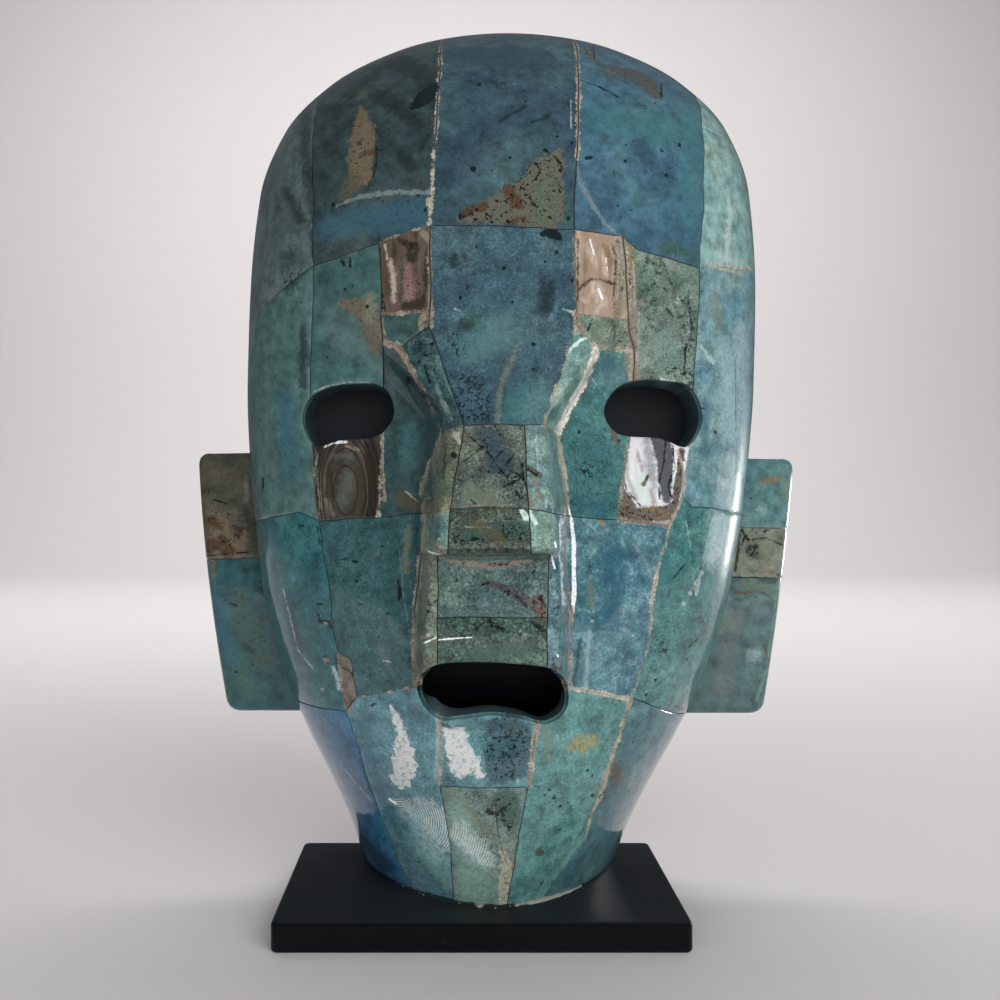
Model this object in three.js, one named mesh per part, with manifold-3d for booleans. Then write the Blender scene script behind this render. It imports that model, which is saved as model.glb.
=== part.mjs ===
// Stone mosaic mask with abalone shell inlays, standing chin down on a black slab.
// Millimetres, +Z up, the face looks along -Y, the origin is the middle of the slab's underside.
import * as THREE from 'three';
import { mergeVertices } from 'three/addons/utils/BufferGeometryUtils.js';
import Module from 'manifold-3d';

const wasm = await Module();
wasm.setup();

// Driving dimensions
const GAP = 0.3; // clearance between pieces that touch
const BASE_WIDTH = 90;
const BASE_DEPTH = 50;
const BASE_HEIGHT = 6.5;
const BASE_ARRIS = 0.8;
const BASE_CORNER = 1.2;
const CROWN_Z = 213.5;
const BACK_Y = 24;
const RIM_Y = 18; // where the curved face ends and the straight rim begins
const TILE_THICKNESS = 3.6;
const CENTRE_X = 3; // the chin is set a little to the right of the slab's middle
const LEAN_DEG = 1.2; // the glued mask leans slightly to the right
const NOSE_SHIFT = -2.3; // nose and mouth sit left of the face's middle line
const EYE_FLOOR_Y = 3; // how far back the blind pockets behind the slots reach
const MOUTH_FLOOR_Y = -2;
const EAR_FRONT_Y = 10;
const EAR_BACK_Y = 22;
const EAR_RIM = 3; // tile left around the ear's backing

// Face sections by height: half width, depth in front of the rim, squareness
const SECTIONS = [
  [6.5, 32, 34.5, 1.6],
  [17, 35.5, 37.5, 1.75],
  [28, 40.5, 39.5, 1.85],
  [40, 46.5, 41, 2],
  [56, 53, 40.5, 2.3],
  [76, 58, 38.5, 2.6],
  [100, 61, 36, 2.8],
  [125, 62.5, 36, 2.8],
  [150, 62, 40.5, 2.7],
  [170, 60.5, 40.5, 2.5],
  [185, 55.5, 36, 2.4],
  [197, 46, 28, 2.2],
  [206, 32, 18, 2.1],
  [211, 20, 9, 2],
  [CROWN_Z, 9, 3, 2],
];

// Raised block of lip, nose and brow by height: half width of its front, width of its side wall, height
const BLOCK = [
  [47, 12, 9, 0],
  [56, 13, 5, 5.5],
  [64, 13.5, 3.5, 9],
  [75, 13, 4, 10],
  [83.5, 12, 5, 11],
  [86.5, 11.5, 5.5, 17],
  [90, 11, 6, 17.5],
  [97, 10.5, 6.5, 15],
  [104, 9.5, 6.5, 12],
  [112, 9.5, 6, 9.5],
  [120, 14, 6, 7],
  [130, 22, 7, 4],
  [140, 28.5, 8, 1.5],
  [150, 30, 8, 0],
];

// Soft hollows and swellings: distance from the middle line, height, half spreads, depth
const EYE_SOCKET = { x: 23, z: 116, rx: 11, rz: 16, depth: -3.5 };
const CHEEK = { x: 34, z: 80, rx: 18, rz: 18, depth: 1.5 };
const CHIN = { x: 0, z: 34, rx: 18, rz: 14, depth: 2 };

// Heights of the rows of facets, on the face and on the plainer bed under the tiles
const FACE_ROWS = [
  17, 28, 38, 47, 53, 58, 63, 69, 76, 83.5, 86.5, 91, 97, 104, 112, 118, 124, 131, 140, 148,
  157, 166, 175, 183, 190, 196, 201, 205.5, 209, 211.5,
];
const BED_ROWS = [26, 47, 58, 69, 83.5, 86.5, 97, 112, 122, 134, 150, 168, 183, 194, 202, 206.5];
// How many columns run from the raised block to the rim
const FACE_COLUMNS = 6;
const BED_COLUMNS = 4;

// Smooth curve through the rows of a table, read at height z
function readTable(table, z) {
  const last = table.length - 1;
  if (z <= table[0][0]) return table[0].slice(1);
  if (z >= table[last][0]) return table[last].slice(1);
  const i = table.findIndex((row) => row[0] > z) - 1;
  const h = table[i + 1][0] - table[i][0];
  const t = (z - table[i][0]) / h;
  const rise = (j, k) => (table[j + 1][k] - table[j][k]) / (table[j + 1][0] - table[j][0]);
  const slope = (j, k) => {
    if (j === 0) return rise(0, k);
    if (j === last) return rise(last - 1, k);
    const before = rise(j - 1, k);
    const after = rise(j, k);
    return before * after <= 0 ? 0 : (2 * before * after) / (before + after);
  };
  return table[i].slice(1).map((start, index) => {
    const k = index + 1;
    const end = table[i + 1][k];
    const keepStart = 2 * t ** 3 - 3 * t ** 2 + 1;
    const leave = (t ** 3 - 2 * t ** 2 + t) * h * slope(i, k);
    const arrive = (t ** 3 - t ** 2) * h * slope(i + 1, k);
    return keepStart * start + leave + (1 - keepStart) * end + arrive;
  });
}

const leanSlope = Math.tan(THREE.MathUtils.degToRad(LEAN_DEG));
const middleX = (z) => CENTRE_X + (z - BASE_HEIGHT) * leanSlope;

function swelling({ x, z, rx, rz, depth }, atX, atZ) {
  return depth * Math.exp(-(((atX - x) / rx) ** 2) - ((atZ - z) / rz) ** 2);
}

// How far the carving stands in front of the plain face, x measured from the middle line
function relief(x, z) {
  const [front, wall, height] = readTable(BLOCK, z);
  const fromBlock = Math.abs(x - NOSE_SHIFT);
  const block = height * THREE.MathUtils.smoothstep(front + wall - fromBlock, 0, wall);
  const side = Math.abs(x);
  return block + swelling(EYE_SOCKET, side, z) + swelling(CHEEK, side, z) + swelling(CHIN, x, z);
}

// The face as a closed body, drawn in from the outside by inset
function faceBody(inset, bottom, backY, rows, sideColumns) {
  const heights = [bottom, ...rows, CROWN_Z - inset];
  const columns = 2 * sideColumns + 4;
  const geometry = new THREE.BoxGeometry(1, 1, 1, columns, heights.length - 1, 1);
  const position = geometry.attributes.position;
  const point = new THREE.Vector3();
  for (let i = 0; i < position.count; i++) {
    // The box stands with its own +Z towards the face's front and its +Y up
    point.fromBufferAttribute(position, i);
    const row = Math.round((point.y + 0.5) * (heights.length - 1));
    const column = Math.round((point.x + 0.5) * columns) - columns / 2;
    const z = heights[row];
    const [width, depth, power] = readTable(SECTIONS, z + inset * (z / CROWN_Z) ** 4);
    const [front, wall] = readTable(BLOCK, z);
    const halfWidth = width - inset;
    const blockFront = Math.min(front, 0.4 * halfWidth);
    const blockEdge = Math.min(front + wall, 0.6 * halfWidth);
    const steps = Math.abs(column);
    const side = Math.sign(column);
    let x = NOSE_SHIFT;
    if (steps === 1) x += side * blockFront;
    if (steps >= 2) {
      const edge = Math.abs(NOSE_SHIFT + side * blockEdge) / halfWidth;
      const startAngle = Math.asin(edge ** (power / 2));
      const angle = startAngle + ((Math.PI / 2 - startAngle) * (steps - 2)) / sideColumns;
      x = side * halfWidth * Math.sin(angle) ** (2 / power);
    }
    const across = Math.min(1, Math.abs(x) / halfWidth);
    const forward = (1 - across ** power) ** (1 / power);
    const carve = relief(x, z) * THREE.MathUtils.smoothstep(forward, 0, 0.33);
    const y = point.z > 0 ? RIM_Y - Math.max(0, depth - inset) * forward - carve : backY;
    position.setXYZ(i, middleX(z) + x, y, z);
  }
  return solid(geometry);
}

function solid(geometry) {
  const bare = geometry.clone();
  bare.deleteAttribute('normal');
  bare.deleteAttribute('uv');
  const merged = mergeVertices(bare, 1e-4);
  return new wasm.Manifold(new wasm.Mesh({
    numProp: 3,
    vertProperties: new Float32Array(merged.attributes.position.array),
    triVerts: new Uint32Array(merged.index.array),
  }));
}

// A flat outline in x and z, pushed along Y from one depth to another
function prism(shape, fromY, toY) {
  const geometry = new THREE.ExtrudeGeometry(shape, { depth: toY - fromY, bevelEnabled: false, curveSegments: 5 });
  geometry.rotateX(Math.PI / 2);
  geometry.translate(0, toY, 0);
  return solid(geometry);
}

// Draws a polygon in by a distance, corner by corner
function drawnIn(points, distance) {
  const corners = points.map(([x, z]) => new THREE.Vector2(x, z));
  const turn = THREE.ShapeUtils.isClockWise(corners) ? -1 : 1;
  return corners.map((corner, i) => {
    const before = corners[(i + corners.length - 1) % corners.length];
    const after = corners[(i + 1) % corners.length];
    const inTo = (from, to) => new THREE.Vector2(from.y - to.y, to.x - from.x).normalize().multiplyScalar(turn);
    const first = inTo(before, corner);
    const second = inTo(corner, after);
    const middle = first.clone().add(second);
    return corner.clone().add(middle.multiplyScalar(distance / (1 + first.dot(second))));
  });
}

// Corners where the seams of the mosaic meet, in x and z
const p = {
  crownLeftOut: [-85, 230],
  crownLeft: [-39, 230],
  crownMidLeft: [-7.5, 230],
  crownMidRight: [24.5, 230],
  crownRight: [54, 230],
  crownRightOut: [90, 230],
  foreheadMidLeft: [-10, 172],
  foreheadMidRight: [20.5, 170],
  templeTopLeftOut: [-85, 121],
  templeTopLeft: [-37, 148],
  browShellTopLeft: [-22, 152],
  browTopLeft: [-11, 155.5],
  browTopRight: [20, 154.5],
  browShellTopRight: [30.5, 153],
  browVeinTop: [34, 150.5],
  templeTopRight: [48.5, 147.5],
  templeTopRightOut: [90, 154],
  shellFootLeftOut: [-21.7, 136.5],
  shellFootLeft: [-11, 137],
  shellFootRight: [20.5, 136.5],
  shellFootRightOut: [32, 135.5],
  rootTopLeft: [-11, 134],
  rootTopRight: [20.5, 134],
  chipFootLeftOut: [-21.5, 130.5],
  chipFootLeft: [-17.5, 129.5],
  chipFootRight: [25, 129.5],
  chipFootRightOut: [34, 129.5],
  rootMidLeft: [-12.5, 120],
  rootMidRight: [22.5, 122],
  eyeSeamLeftOut: [-38.5, 115],
  eyeSeamLeft: [-21.7, 115],
  eyeSeamRight: [34, 115],
  eyeSeamRightOut: [48, 115],
  bridgeTopLeft: [-3.8, 112],
  bridgeTopMid: [9, 112],
  bridgeTopRight: [13, 112],
  rootFootLeft: [-8.7, 110.5],
  rootFootRight: [16.5, 110.5],
  shellSideRightOut: [45, 97],
  bridgeWallLeft: [-13, 98.5],
  bridgeWallRight: [18.5, 98.5],
  tipTopLeft: [-7, 94.7],
  tipTopRight: [9, 94.7],
  noseSideLeft: [-12.2, 93.5],
  noseSideRight: [18.5, 92.7],
  cheekSideTopLeft: [-41, 93.5],
  cheekSideTopLeftOut: [-85, 84],
  cheekSideTopRight: [47.5, 95],
  cheekSideTopRightOut: [90, 88],
  shellBottomLeftOut: [-36, 91.5],
  shellBottomLeft: [-22.5, 92.5],
  shellBottomRight: [30, 92],
  shellBottomRightOut: [41.5, 90.5],
  tipFootLeftOut: [-12.8, 85],
  tipFootLeft: [-7, 85],
  tipFootRight: [9.4, 85],
  tipFootRightOut: [18, 85],
  lipTopLeft: [-9, 85],
  lipTopRight: [13.5, 85],
  lipMidLeftOut: [-14.5, 72],
  lipMidLeft: [-9.5, 72],
  lipMidRight: [13.5, 72],
  lipMidRightOut: [19.5, 72],
  cheekMidLeft: [-33, 74],
  cheekMidRight: [38, 76.5],
  cheekLowLeft: [-32, 63],
  cheekLowRight: [37, 65],
  chipTopLeft: [-28.8, 61],
  mouthSeamLeftOut: [-14, 56],
  mouthSeamLeft: [-9, 56],
  mouthSeamRight: [13, 56],
  mouthSeamRightOut: [19, 56],
  jawLeft: [-27.2, 52.5],
  jawLeftOut: [-30, 49],
  jawRight: [33, 52.5],
  cheekSideFootLeftOut: [-85, 47],
  cheekSideFootRight: [54, 43],
  cheekSideFootRightOut: [90, 42],
  chinMidLeftOut: [-24.5, 30.5],
  chinMidLeft: [-8.7, 34.8],
  chinMidRight: [10, 35.3],
  chinMidRightOut: [26.5, 32],
  chinLowLeftOut: [-20, 15.8],
  chinLowLeft: [-6.8, 19.7],
  chinLowRight: [7.9, 22],
  chinLowRightOut: [23.5, 19.7],
  footLeftOut: [-85, 0],
  footLeft: [-13, 0],
  footMidLeft: [-5.5, 0],
  footMidRight: [4.8, 0],
  footRight: [9.5, 0],
  footRightOut: [90, 0],
};

const TEAL = 0x2f6d73;
const DARK_TEAL = 0x2c4b4c;
const BLUE = 0x3a6a85;
const GREEN = 0x4f7b68;
const OLIVE = 0x6d7558;
const BROWN = 0x7a6148;
const PALE = 0x7fb0a8;
const SHELL = 0xa79a92;

// Each tile of the face: its colour and the seam corners around it
const FACE_TILES = {
  forehead_left_side: [DARK_TEAL, p.crownLeftOut, p.crownLeft, p.templeTopLeft, p.templeTopLeftOut],
  forehead_left: [DARK_TEAL, p.crownLeft, p.crownMidLeft, p.foreheadMidLeft, p.browTopLeft,
    p.browShellTopLeft, p.templeTopLeft],
  forehead_centre: [BLUE, p.crownMidLeft, p.crownMidRight, p.foreheadMidRight, p.browTopRight,
    p.browTopLeft, p.foreheadMidLeft],
  forehead_right: [BLUE, p.crownMidRight, p.crownRight, p.templeTopRight, p.browVeinTop,
    p.browShellTopRight, p.browTopRight, p.foreheadMidRight],
  forehead_right_side: [PALE, p.crownRight, p.crownRightOut, p.templeTopRightOut, p.templeTopRight],
  temple_left: [TEAL, p.templeTopLeftOut, p.templeTopLeft, p.eyeSeamLeftOut, p.shellBottomLeftOut,
    p.cheekSideTopLeft, p.cheekSideTopLeftOut],
  brow_left: [TEAL, p.templeTopLeft, p.browShellTopLeft, p.shellFootLeftOut, p.chipFootLeftOut,
    p.eyeSeamLeft, p.eyeSeamLeftOut],
  brow_shell_left: [SHELL, p.browShellTopLeft, p.browTopLeft, p.shellFootLeft, p.shellFootLeftOut],
  brow_centre: [BLUE, p.browTopLeft, p.browTopRight, p.shellFootRight, p.rootTopRight,
    p.bridgeTopRight, p.bridgeTopMid, p.bridgeTopLeft, p.rootTopLeft, p.shellFootLeft],
  brow_shell_right: [SHELL, p.browTopRight, p.browShellTopRight, p.shellFootRightOut, p.shellFootRight],
  brow_right: [GREEN, p.browShellTopRight, p.browVeinTop, p.templeTopRight, p.eyeSeamRightOut,
    p.eyeSeamRight, p.chipFootRightOut, p.shellFootRightOut],
  temple_right: [PALE, p.templeTopRight, p.templeTopRightOut, p.cheekSideTopRightOut,
    p.cheekSideTopRight, p.shellSideRightOut, p.eyeSeamRightOut],
  brow_chip_left: [GREEN, p.shellFootLeftOut, p.shellFootLeft, p.rootTopLeft, p.chipFootLeft,
    p.chipFootLeftOut],
  brow_chip_right: [GREEN, p.shellFootRight, p.shellFootRightOut, p.chipFootRightOut,
    p.chipFootRight, p.rootTopRight],
  nose_root_left: [TEAL, p.rootTopLeft, p.bridgeTopLeft, p.rootFootLeft, p.rootMidLeft, p.chipFootLeft],
  nose_root_right: [PALE, p.rootTopRight, p.chipFootRight, p.rootMidRight, p.rootFootRight,
    p.bridgeTopRight],
  inner_eye_left: [TEAL, p.chipFootLeftOut, p.chipFootLeft, p.rootMidLeft, p.rootFootLeft,
    p.bridgeWallLeft, p.noseSideLeft, p.shellBottomLeft, p.eyeSeamLeft],
  inner_eye_right: [TEAL, p.chipFootRight, p.chipFootRightOut, p.eyeSeamRight, p.shellBottomRight,
    p.noseSideRight, p.bridgeWallRight, p.rootFootRight, p.rootMidRight],
  cheek_shell_left: [SHELL, p.eyeSeamLeftOut, p.eyeSeamLeft, p.shellBottomLeft, p.shellBottomLeftOut],
  cheek_shell_right: [SHELL, p.eyeSeamRight, p.eyeSeamRightOut, p.shellSideRightOut,
    p.shellBottomRightOut, p.shellBottomRight],
  nose_bridge_centre: [OLIVE, p.bridgeTopLeft, p.bridgeTopMid, p.tipTopRight, p.tipTopLeft],
  nose_bridge_left: [OLIVE, p.bridgeTopLeft, p.tipTopLeft, p.noseSideLeft, p.bridgeWallLeft, p.rootFootLeft],
  nose_bridge_right: [GREEN, p.bridgeTopMid, p.bridgeTopRight, p.rootFootRight, p.bridgeWallRight,
    p.noseSideRight, p.tipTopRight],
  nose_tip_centre: [GREEN, p.tipTopLeft, p.tipTopRight, p.tipFootRight, p.tipFootLeft],
  nose_tip_left: [OLIVE, p.noseSideLeft, p.tipTopLeft, p.tipFootLeft, p.lipTopLeft, p.tipFootLeftOut],
  nose_tip_right: [GREEN, p.tipTopRight, p.noseSideRight, p.tipFootRightOut, p.lipTopRight, p.tipFootRight],
  lip_centre_upper: [OLIVE, p.lipTopLeft, p.tipFootLeft, p.tipFootRight, p.lipTopRight, p.lipMidRight,
    p.lipMidLeft],
  lip_centre_lower: [GREEN, p.lipMidLeft, p.lipMidRight, p.mouthSeamRight, p.mouthSeamLeft],
  lip_left: [OLIVE, p.tipFootLeftOut, p.lipTopLeft, p.lipMidLeft, p.mouthSeamLeft,
    p.mouthSeamLeftOut, p.lipMidLeftOut],
  lip_right: [BLUE, p.lipTopRight, p.tipFootRightOut, p.lipMidRightOut, p.mouthSeamRightOut,
    p.mouthSeamRight, p.lipMidRight],
  cheek_left: [TEAL, p.shellBottomLeftOut, p.shellBottomLeft, p.noseSideLeft, p.tipFootLeftOut,
    p.lipMidLeftOut, p.mouthSeamLeftOut, p.jawLeft, p.chipTopLeft, p.cheekLowLeft, p.cheekMidLeft],
  cheek_chip_left: [BROWN, p.cheekLowLeft, p.chipTopLeft, p.jawLeft, p.jawLeftOut],
  cheek_left_side: [TEAL, p.cheekSideTopLeftOut, p.cheekSideTopLeft, p.shellBottomLeftOut,
    p.cheekMidLeft, p.cheekLowLeft, p.jawLeftOut, p.cheekSideFootLeftOut],
  cheek_right: [BLUE, p.noseSideRight, p.shellBottomRight, p.shellBottomRightOut, p.cheekMidRight,
    p.cheekLowRight, p.jawRight, p.mouthSeamRightOut, p.lipMidRightOut, p.tipFootRightOut],
  cheek_right_side: [GREEN, p.shellSideRightOut, p.cheekSideTopRight, p.cheekSideTopRightOut,
    p.cheekSideFootRightOut, p.cheekSideFootRight, p.jawRight, p.cheekLowRight, p.cheekMidRight,
    p.shellBottomRightOut],
  chin_left_side: [BLUE, p.cheekSideFootLeftOut, p.jawLeftOut, p.chinMidLeftOut, p.chinLowLeftOut,
    p.footLeft, p.footLeftOut],
  chin_left: [TEAL, p.jawLeft, p.mouthSeamLeftOut, p.mouthSeamLeft, p.chinMidLeft, p.chinLowLeft,
    p.footMidLeft, p.footLeft, p.chinLowLeftOut, p.chinMidLeftOut, p.jawLeftOut],
  chin_centre_upper: [BLUE, p.mouthSeamLeft, p.mouthSeamRight, p.chinMidRight, p.chinMidLeft],
  chin_centre_lower: [GREEN, p.chinMidLeft, p.chinMidRight, p.chinLowRight, p.footMidRight,
    p.footMidLeft, p.chinLowLeft],
  chin_right: [TEAL, p.mouthSeamRight, p.mouthSeamRightOut, p.jawRight, p.chinMidRightOut,
    p.chinLowRightOut, p.footRight, p.footMidRight, p.chinLowRight, p.chinMidRight],
  chin_right_side: [BLUE, p.jawRight, p.cheekSideFootRight, p.cheekSideFootRightOut, p.footRightOut,
    p.footRight, p.chinLowRightOut, p.chinMidRightOut],
};

// Each tile of the ears: its colour, side, and the heights it runs between
const EAR_TILES = {
  ear_left_upper: [BROWN, -1, 81.5, 120],
  ear_left_lower: [TEAL, -1, 30, 81.5],
  ear_right_upper: [OLIVE, 1, 89.3, 120],
  ear_right_middle: [BROWN, 1, 77, 89.3],
  ear_right_lower: [GREEN, 1, 30, 77],
};

// Outlines of the eye and mouth slots, as smooth closed curves through a few points
const EYE_LEFT = [[-40.2, 114.5], [-37.5, 119.8], [-29, 122.2], [-21.5, 121.2], [-19.3, 115.5],
  [-23, 110.6], [-31, 109.6], [-37.3, 108.4]];
const EYE_RIGHT = [[27.7, 116], [31, 121.5], [38, 123], [47, 121.5], [50.3, 114.5], [46.5, 108.2],
  [40, 110], [31, 111]];
const MOUTH = [[-14.1, 56.3], [-12.6, 60], [-8.8, 62.2], [-2, 62.7], [5.7, 62.4], [13.5, 61.4],
  [17.6, 58.6], [19, 54.5], [17.9, 50.6], [13.6, 48.2], [8.4, 49.7], [1.7, 50.5], [-4.5, 49.5],
  [-8.8, 49.1], [-12.4, 52]];

function slotShape(points) {
  const curve = new THREE.SplineCurve([...points, points[0]].map(([x, z]) => new THREE.Vector2(x, z)));
  return new THREE.Shape(curve.getPoints(points.length * 3).slice(0, -1));
}

// One ear in outline, its outer edge slightly bowed, drawn in by inset
function earShape(side, inset) {
  const root = middleX(76) + side * 42;
  const out = (x) => x - side * inset;
  const top = side < 0 ? 108.2 : 106.8;
  const foot = side < 0 ? 43.8 : 43.2;
  const topX = side < 0 ? -69.2 : 78.3;
  const footX = side < 0 ? -62 : 70.8;
  const round = 3.5;
  const bow = side < 0 ? 1.3 : 2;
  const shape = new THREE.Shape();
  shape.moveTo(root, foot + inset);
  shape.lineTo(out(footX) - side * round, foot + inset);
  shape.quadraticCurveTo(out(footX), foot + inset, out(footX) + side * 0.5, foot + inset + round);
  shape.quadraticCurveTo(out(topX) - side * bow, 78, out(topX), top - inset - round);
  shape.quadraticCurveTo(out(topX), top - inset, out(topX) - side * round, top - inset - 0.5);
  shape.lineTo(root, top - inset);
  return shape;
}

// The eye and mouth slots as cutters from before the face back to their floors
function slots() {
  const eyes = [EYE_LEFT, EYE_RIGHT].map((points) => prism(slotShape(points), -80, EYE_FLOOR_Y));
  return eyes[0].add(eyes[1]).add(prism(slotShape(MOUTH), -80, MOUTH_FLOOR_Y));
}

// Turns a solid back into a mesh with flat facets
function pieceMesh(name, body, material) {
  const { vertProperties, triVerts } = body.getMesh();
  const geometry = new THREE.BufferGeometry();
  geometry.setAttribute('position', new THREE.BufferAttribute(new Float32Array(vertProperties), 3));
  geometry.setIndex(new THREE.BufferAttribute(new Uint32Array(triVerts), 1));
  geometry.computeVertexNormals();
  const mesh = new THREE.Mesh(geometry, material);
  mesh.name = name;
  return mesh;
}

function stone(color) {
  return new THREE.MeshStandardMaterial({ color, roughness: 0.12, metalness: 0, flatShading: true });
}

const maskFoot = BASE_HEIGHT + GAP;
const skin = faceBody(0, maskFoot, BACK_Y, FACE_ROWS, FACE_COLUMNS);
const skinClear = faceBody(-GAP, maskFoot - 1, BACK_Y + 1, FACE_ROWS, FACE_COLUMNS);
const backing = faceBody(TILE_THICKNESS + GAP, maskFoot, BACK_Y, BED_ROWS, BED_COLUMNS);
const bedFace = faceBody(TILE_THICKNESS, maskFoot - 1, BACK_Y + 1, BED_ROWS, BED_COLUMNS);
const slotCuts = slots();
const tileLayer = skin.subtract(bedFace).subtract(slotCuts);

const mask = new THREE.Group();

// The dark backing that the tiles are set on, with blind pockets behind the eyes and mouth
const earPlates = [-1, 1].map((side) => prism(earShape(side, EAR_RIM + GAP), EAR_FRONT_Y + EAR_RIM + GAP, EAR_BACK_Y));
const earRoots = [-1, 1].map((side) => prism(earShape(side, EAR_RIM), EAR_FRONT_Y + EAR_RIM, EAR_BACK_Y + 10));
const backingBody = backing.add(earPlates[0]).add(earPlates[1]).subtract(slotCuts);
mask.add(pieceMesh('mask_backing', backingBody, stone(0x1c1a1e)));

for (const [name, [color, ...corners]] of Object.entries(FACE_TILES)) {
  const outline = new THREE.Shape(drawnIn(corners, GAP / 2));
  const tile = tileLayer.intersect(prism(outline, -80, BACK_Y + 2)).subtract(earRoots[0]).subtract(earRoots[1]);
  mask.add(pieceMesh(name, tile, stone(color)));
}

for (const [name, [color, side, low, high]] of Object.entries(EAR_TILES)) {
  const band = [[side * 30, low], [side * 100, low], [side * 100, high], [side * 30, high]];
  const outer = prism(earShape(side, 0), EAR_FRONT_Y, EAR_BACK_Y);
  const cut = prism(new THREE.Shape(drawnIn(band, GAP / 2)), 0, BACK_Y);
  const tile = outer.intersect(cut).subtract(earRoots[(side + 1) / 2]).subtract(skinClear);
  mask.add(pieceMesh(name, tile, stone(color)));
}

// The black slab, its arrises slightly rounded
function baseGeometry() {
  const x = BASE_WIDTH / 2 - BASE_ARRIS;
  const y = BASE_DEPTH / 2 - BASE_ARRIS;
  const shape = new THREE.Shape();
  shape.moveTo(-x + BASE_CORNER, -y);
  shape.absarc(x - BASE_CORNER, -y + BASE_CORNER, BASE_CORNER, -Math.PI / 2, 0);
  shape.absarc(x - BASE_CORNER, y - BASE_CORNER, BASE_CORNER, 0, Math.PI / 2);
  shape.absarc(-x + BASE_CORNER, y - BASE_CORNER, BASE_CORNER, Math.PI / 2, Math.PI);
  shape.absarc(-x + BASE_CORNER, -y + BASE_CORNER, BASE_CORNER, Math.PI, 1.5 * Math.PI);
  const geometry = new THREE.ExtrudeGeometry(shape, {
    depth: BASE_HEIGHT - 2 * BASE_ARRIS,
    bevelThickness: BASE_ARRIS,
    bevelSize: BASE_ARRIS,
    bevelSegments: 2,
    curveSegments: 3,
  });
  geometry.translate(0, 0, BASE_ARRIS);
  return geometry;
}
const satinBlack = new THREE.MeshStandardMaterial({ color: 0x0b0c0d, roughness: 0.4, metalness: 0 });
mask.add(pieceMesh('display_base', solid(baseGeometry()), satinBlack));

export default mask;
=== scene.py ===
"""A polished stone mosaic mask with abalone shell inlays, standing chin down on a black slab."""

import math
import random

import bmesh
import bpy
import numpy as np
from bpy.props import FloatProperty, FloatVectorProperty, PointerProperty
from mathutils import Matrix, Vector, noise
from mathutils.geometry import delaunay_2d_cdt


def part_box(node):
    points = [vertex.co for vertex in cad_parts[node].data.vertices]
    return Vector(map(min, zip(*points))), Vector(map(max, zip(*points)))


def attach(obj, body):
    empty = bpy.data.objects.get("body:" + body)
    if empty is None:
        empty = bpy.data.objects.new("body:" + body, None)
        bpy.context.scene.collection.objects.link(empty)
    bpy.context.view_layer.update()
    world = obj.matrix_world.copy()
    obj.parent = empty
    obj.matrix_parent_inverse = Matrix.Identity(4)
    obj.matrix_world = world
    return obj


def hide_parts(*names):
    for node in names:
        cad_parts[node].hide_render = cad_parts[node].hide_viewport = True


bl_info = {
    "name": "Stone Mosaic Mask",
    "version": (1, 0, 0),
    "blender": (4, 5, 0),
    "location": "3D View > Sidebar > Mosaic Mask",
    "description": "Builds a lacquered stone mosaic mask with abalone shell inlays on its slab",
    "category": "Object",
}

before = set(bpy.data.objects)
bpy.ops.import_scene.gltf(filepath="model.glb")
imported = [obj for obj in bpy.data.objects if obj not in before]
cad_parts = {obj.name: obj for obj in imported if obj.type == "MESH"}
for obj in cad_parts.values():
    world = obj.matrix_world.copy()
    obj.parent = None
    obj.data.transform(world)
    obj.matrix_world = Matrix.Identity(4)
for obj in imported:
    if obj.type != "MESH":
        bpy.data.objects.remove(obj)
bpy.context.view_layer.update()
# Without a seed the noise that the seams are cut with would differ from run to run
noise.seed_set(1)

# Sizes are in millimetres and turned into metres as each mesh is finished
MM = 0.001
BASE_LOW, BASE_HIGH = (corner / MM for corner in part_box("display_base"))
BASE_TOP = BASE_HIGH[2]
CROWN_Z = 213.5
BACK_Y = 24.0
RIM_Y = 18.0
RIM = BACK_Y - RIM_Y
CAP = 9.0  # how far the flat crown runs back
CENTRE_X = 3.0
LEAN_SLOPE = math.tan(math.radians(1.2))
NOSE_SHIFT = -2.3
EYE_FLOOR_Y = 3.0
MOUTH_FLOOR_Y = -2.0
EYE_WALL = 13.0  # how deep the stone lines the eye slots
MOUTH_WALL = 9.0
EAR_FRONT_Y = 10.0
EAR_BACK_Y = 22.0
EAR_ROUND = 1.8
EAR_CORNER = 3.5
EAR_SEAM_X = 66  # x, at either side, at which the heights of the ears' slanting seams are given
SEAM_BOW, SEAM_NICK = 0.45, 0.12  # how far a hand-cut seam strays, slowly and quickly
BOW_PITCH, NICK_PITCH = 0.11, 0.4  # how often it does so, per millimetre
TRIANGLE_ROW = 0.866  # height of an even triangle with sides of 1
SLIVER = 0.004  # a triangle whose middle is this near an edge line lies between three of its points
SHARP_ANGLE = 38  # edges that turn further than this many degrees stay sharp
ARRIS_DEPTH, SLOT_ARRIS_DEPTH = 0.6, 0.7  # how deep an arris falls away, as a share of its width
FILLER_REACH = 3.0  # how far from a filled seam its distance is still recorded
BACKING_DEPTH = 0.34  # how far the backing lies under the polished face
BACKING_DEEPEST = 2.6
BACKING_INSET = 0.15  # how far the backing's flat rear lies in front of the tiles' sawn edges
POCKET_GAP = 0.45  # how far a pocket of the backing stands back from the lining of its slot

# Face sections by height: half width, depth in front of the rim, squareness
SECTIONS = (
    (6.5, 32, 34.5, 1.6),
    (17, 35.5, 37.5, 1.75),
    (28, 40.5, 39.5, 1.85),
    (40, 46.5, 41, 2),
    (56, 53, 40.5, 2.3),
    (76, 58, 38.5, 2.6),
    (100, 61, 36, 2.8),
    (125, 62.5, 36, 2.8),
    (150, 62, 40.5, 2.7),
    (170, 60.5, 40.5, 2.5),
    (185, 55.5, 36, 2.4),
    (197, 46, 28, 2.2),
    (206, 32, 18, 2.1),
    (211, 20, 9, 2),
    (CROWN_Z, 9, 3, 2),
)

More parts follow.
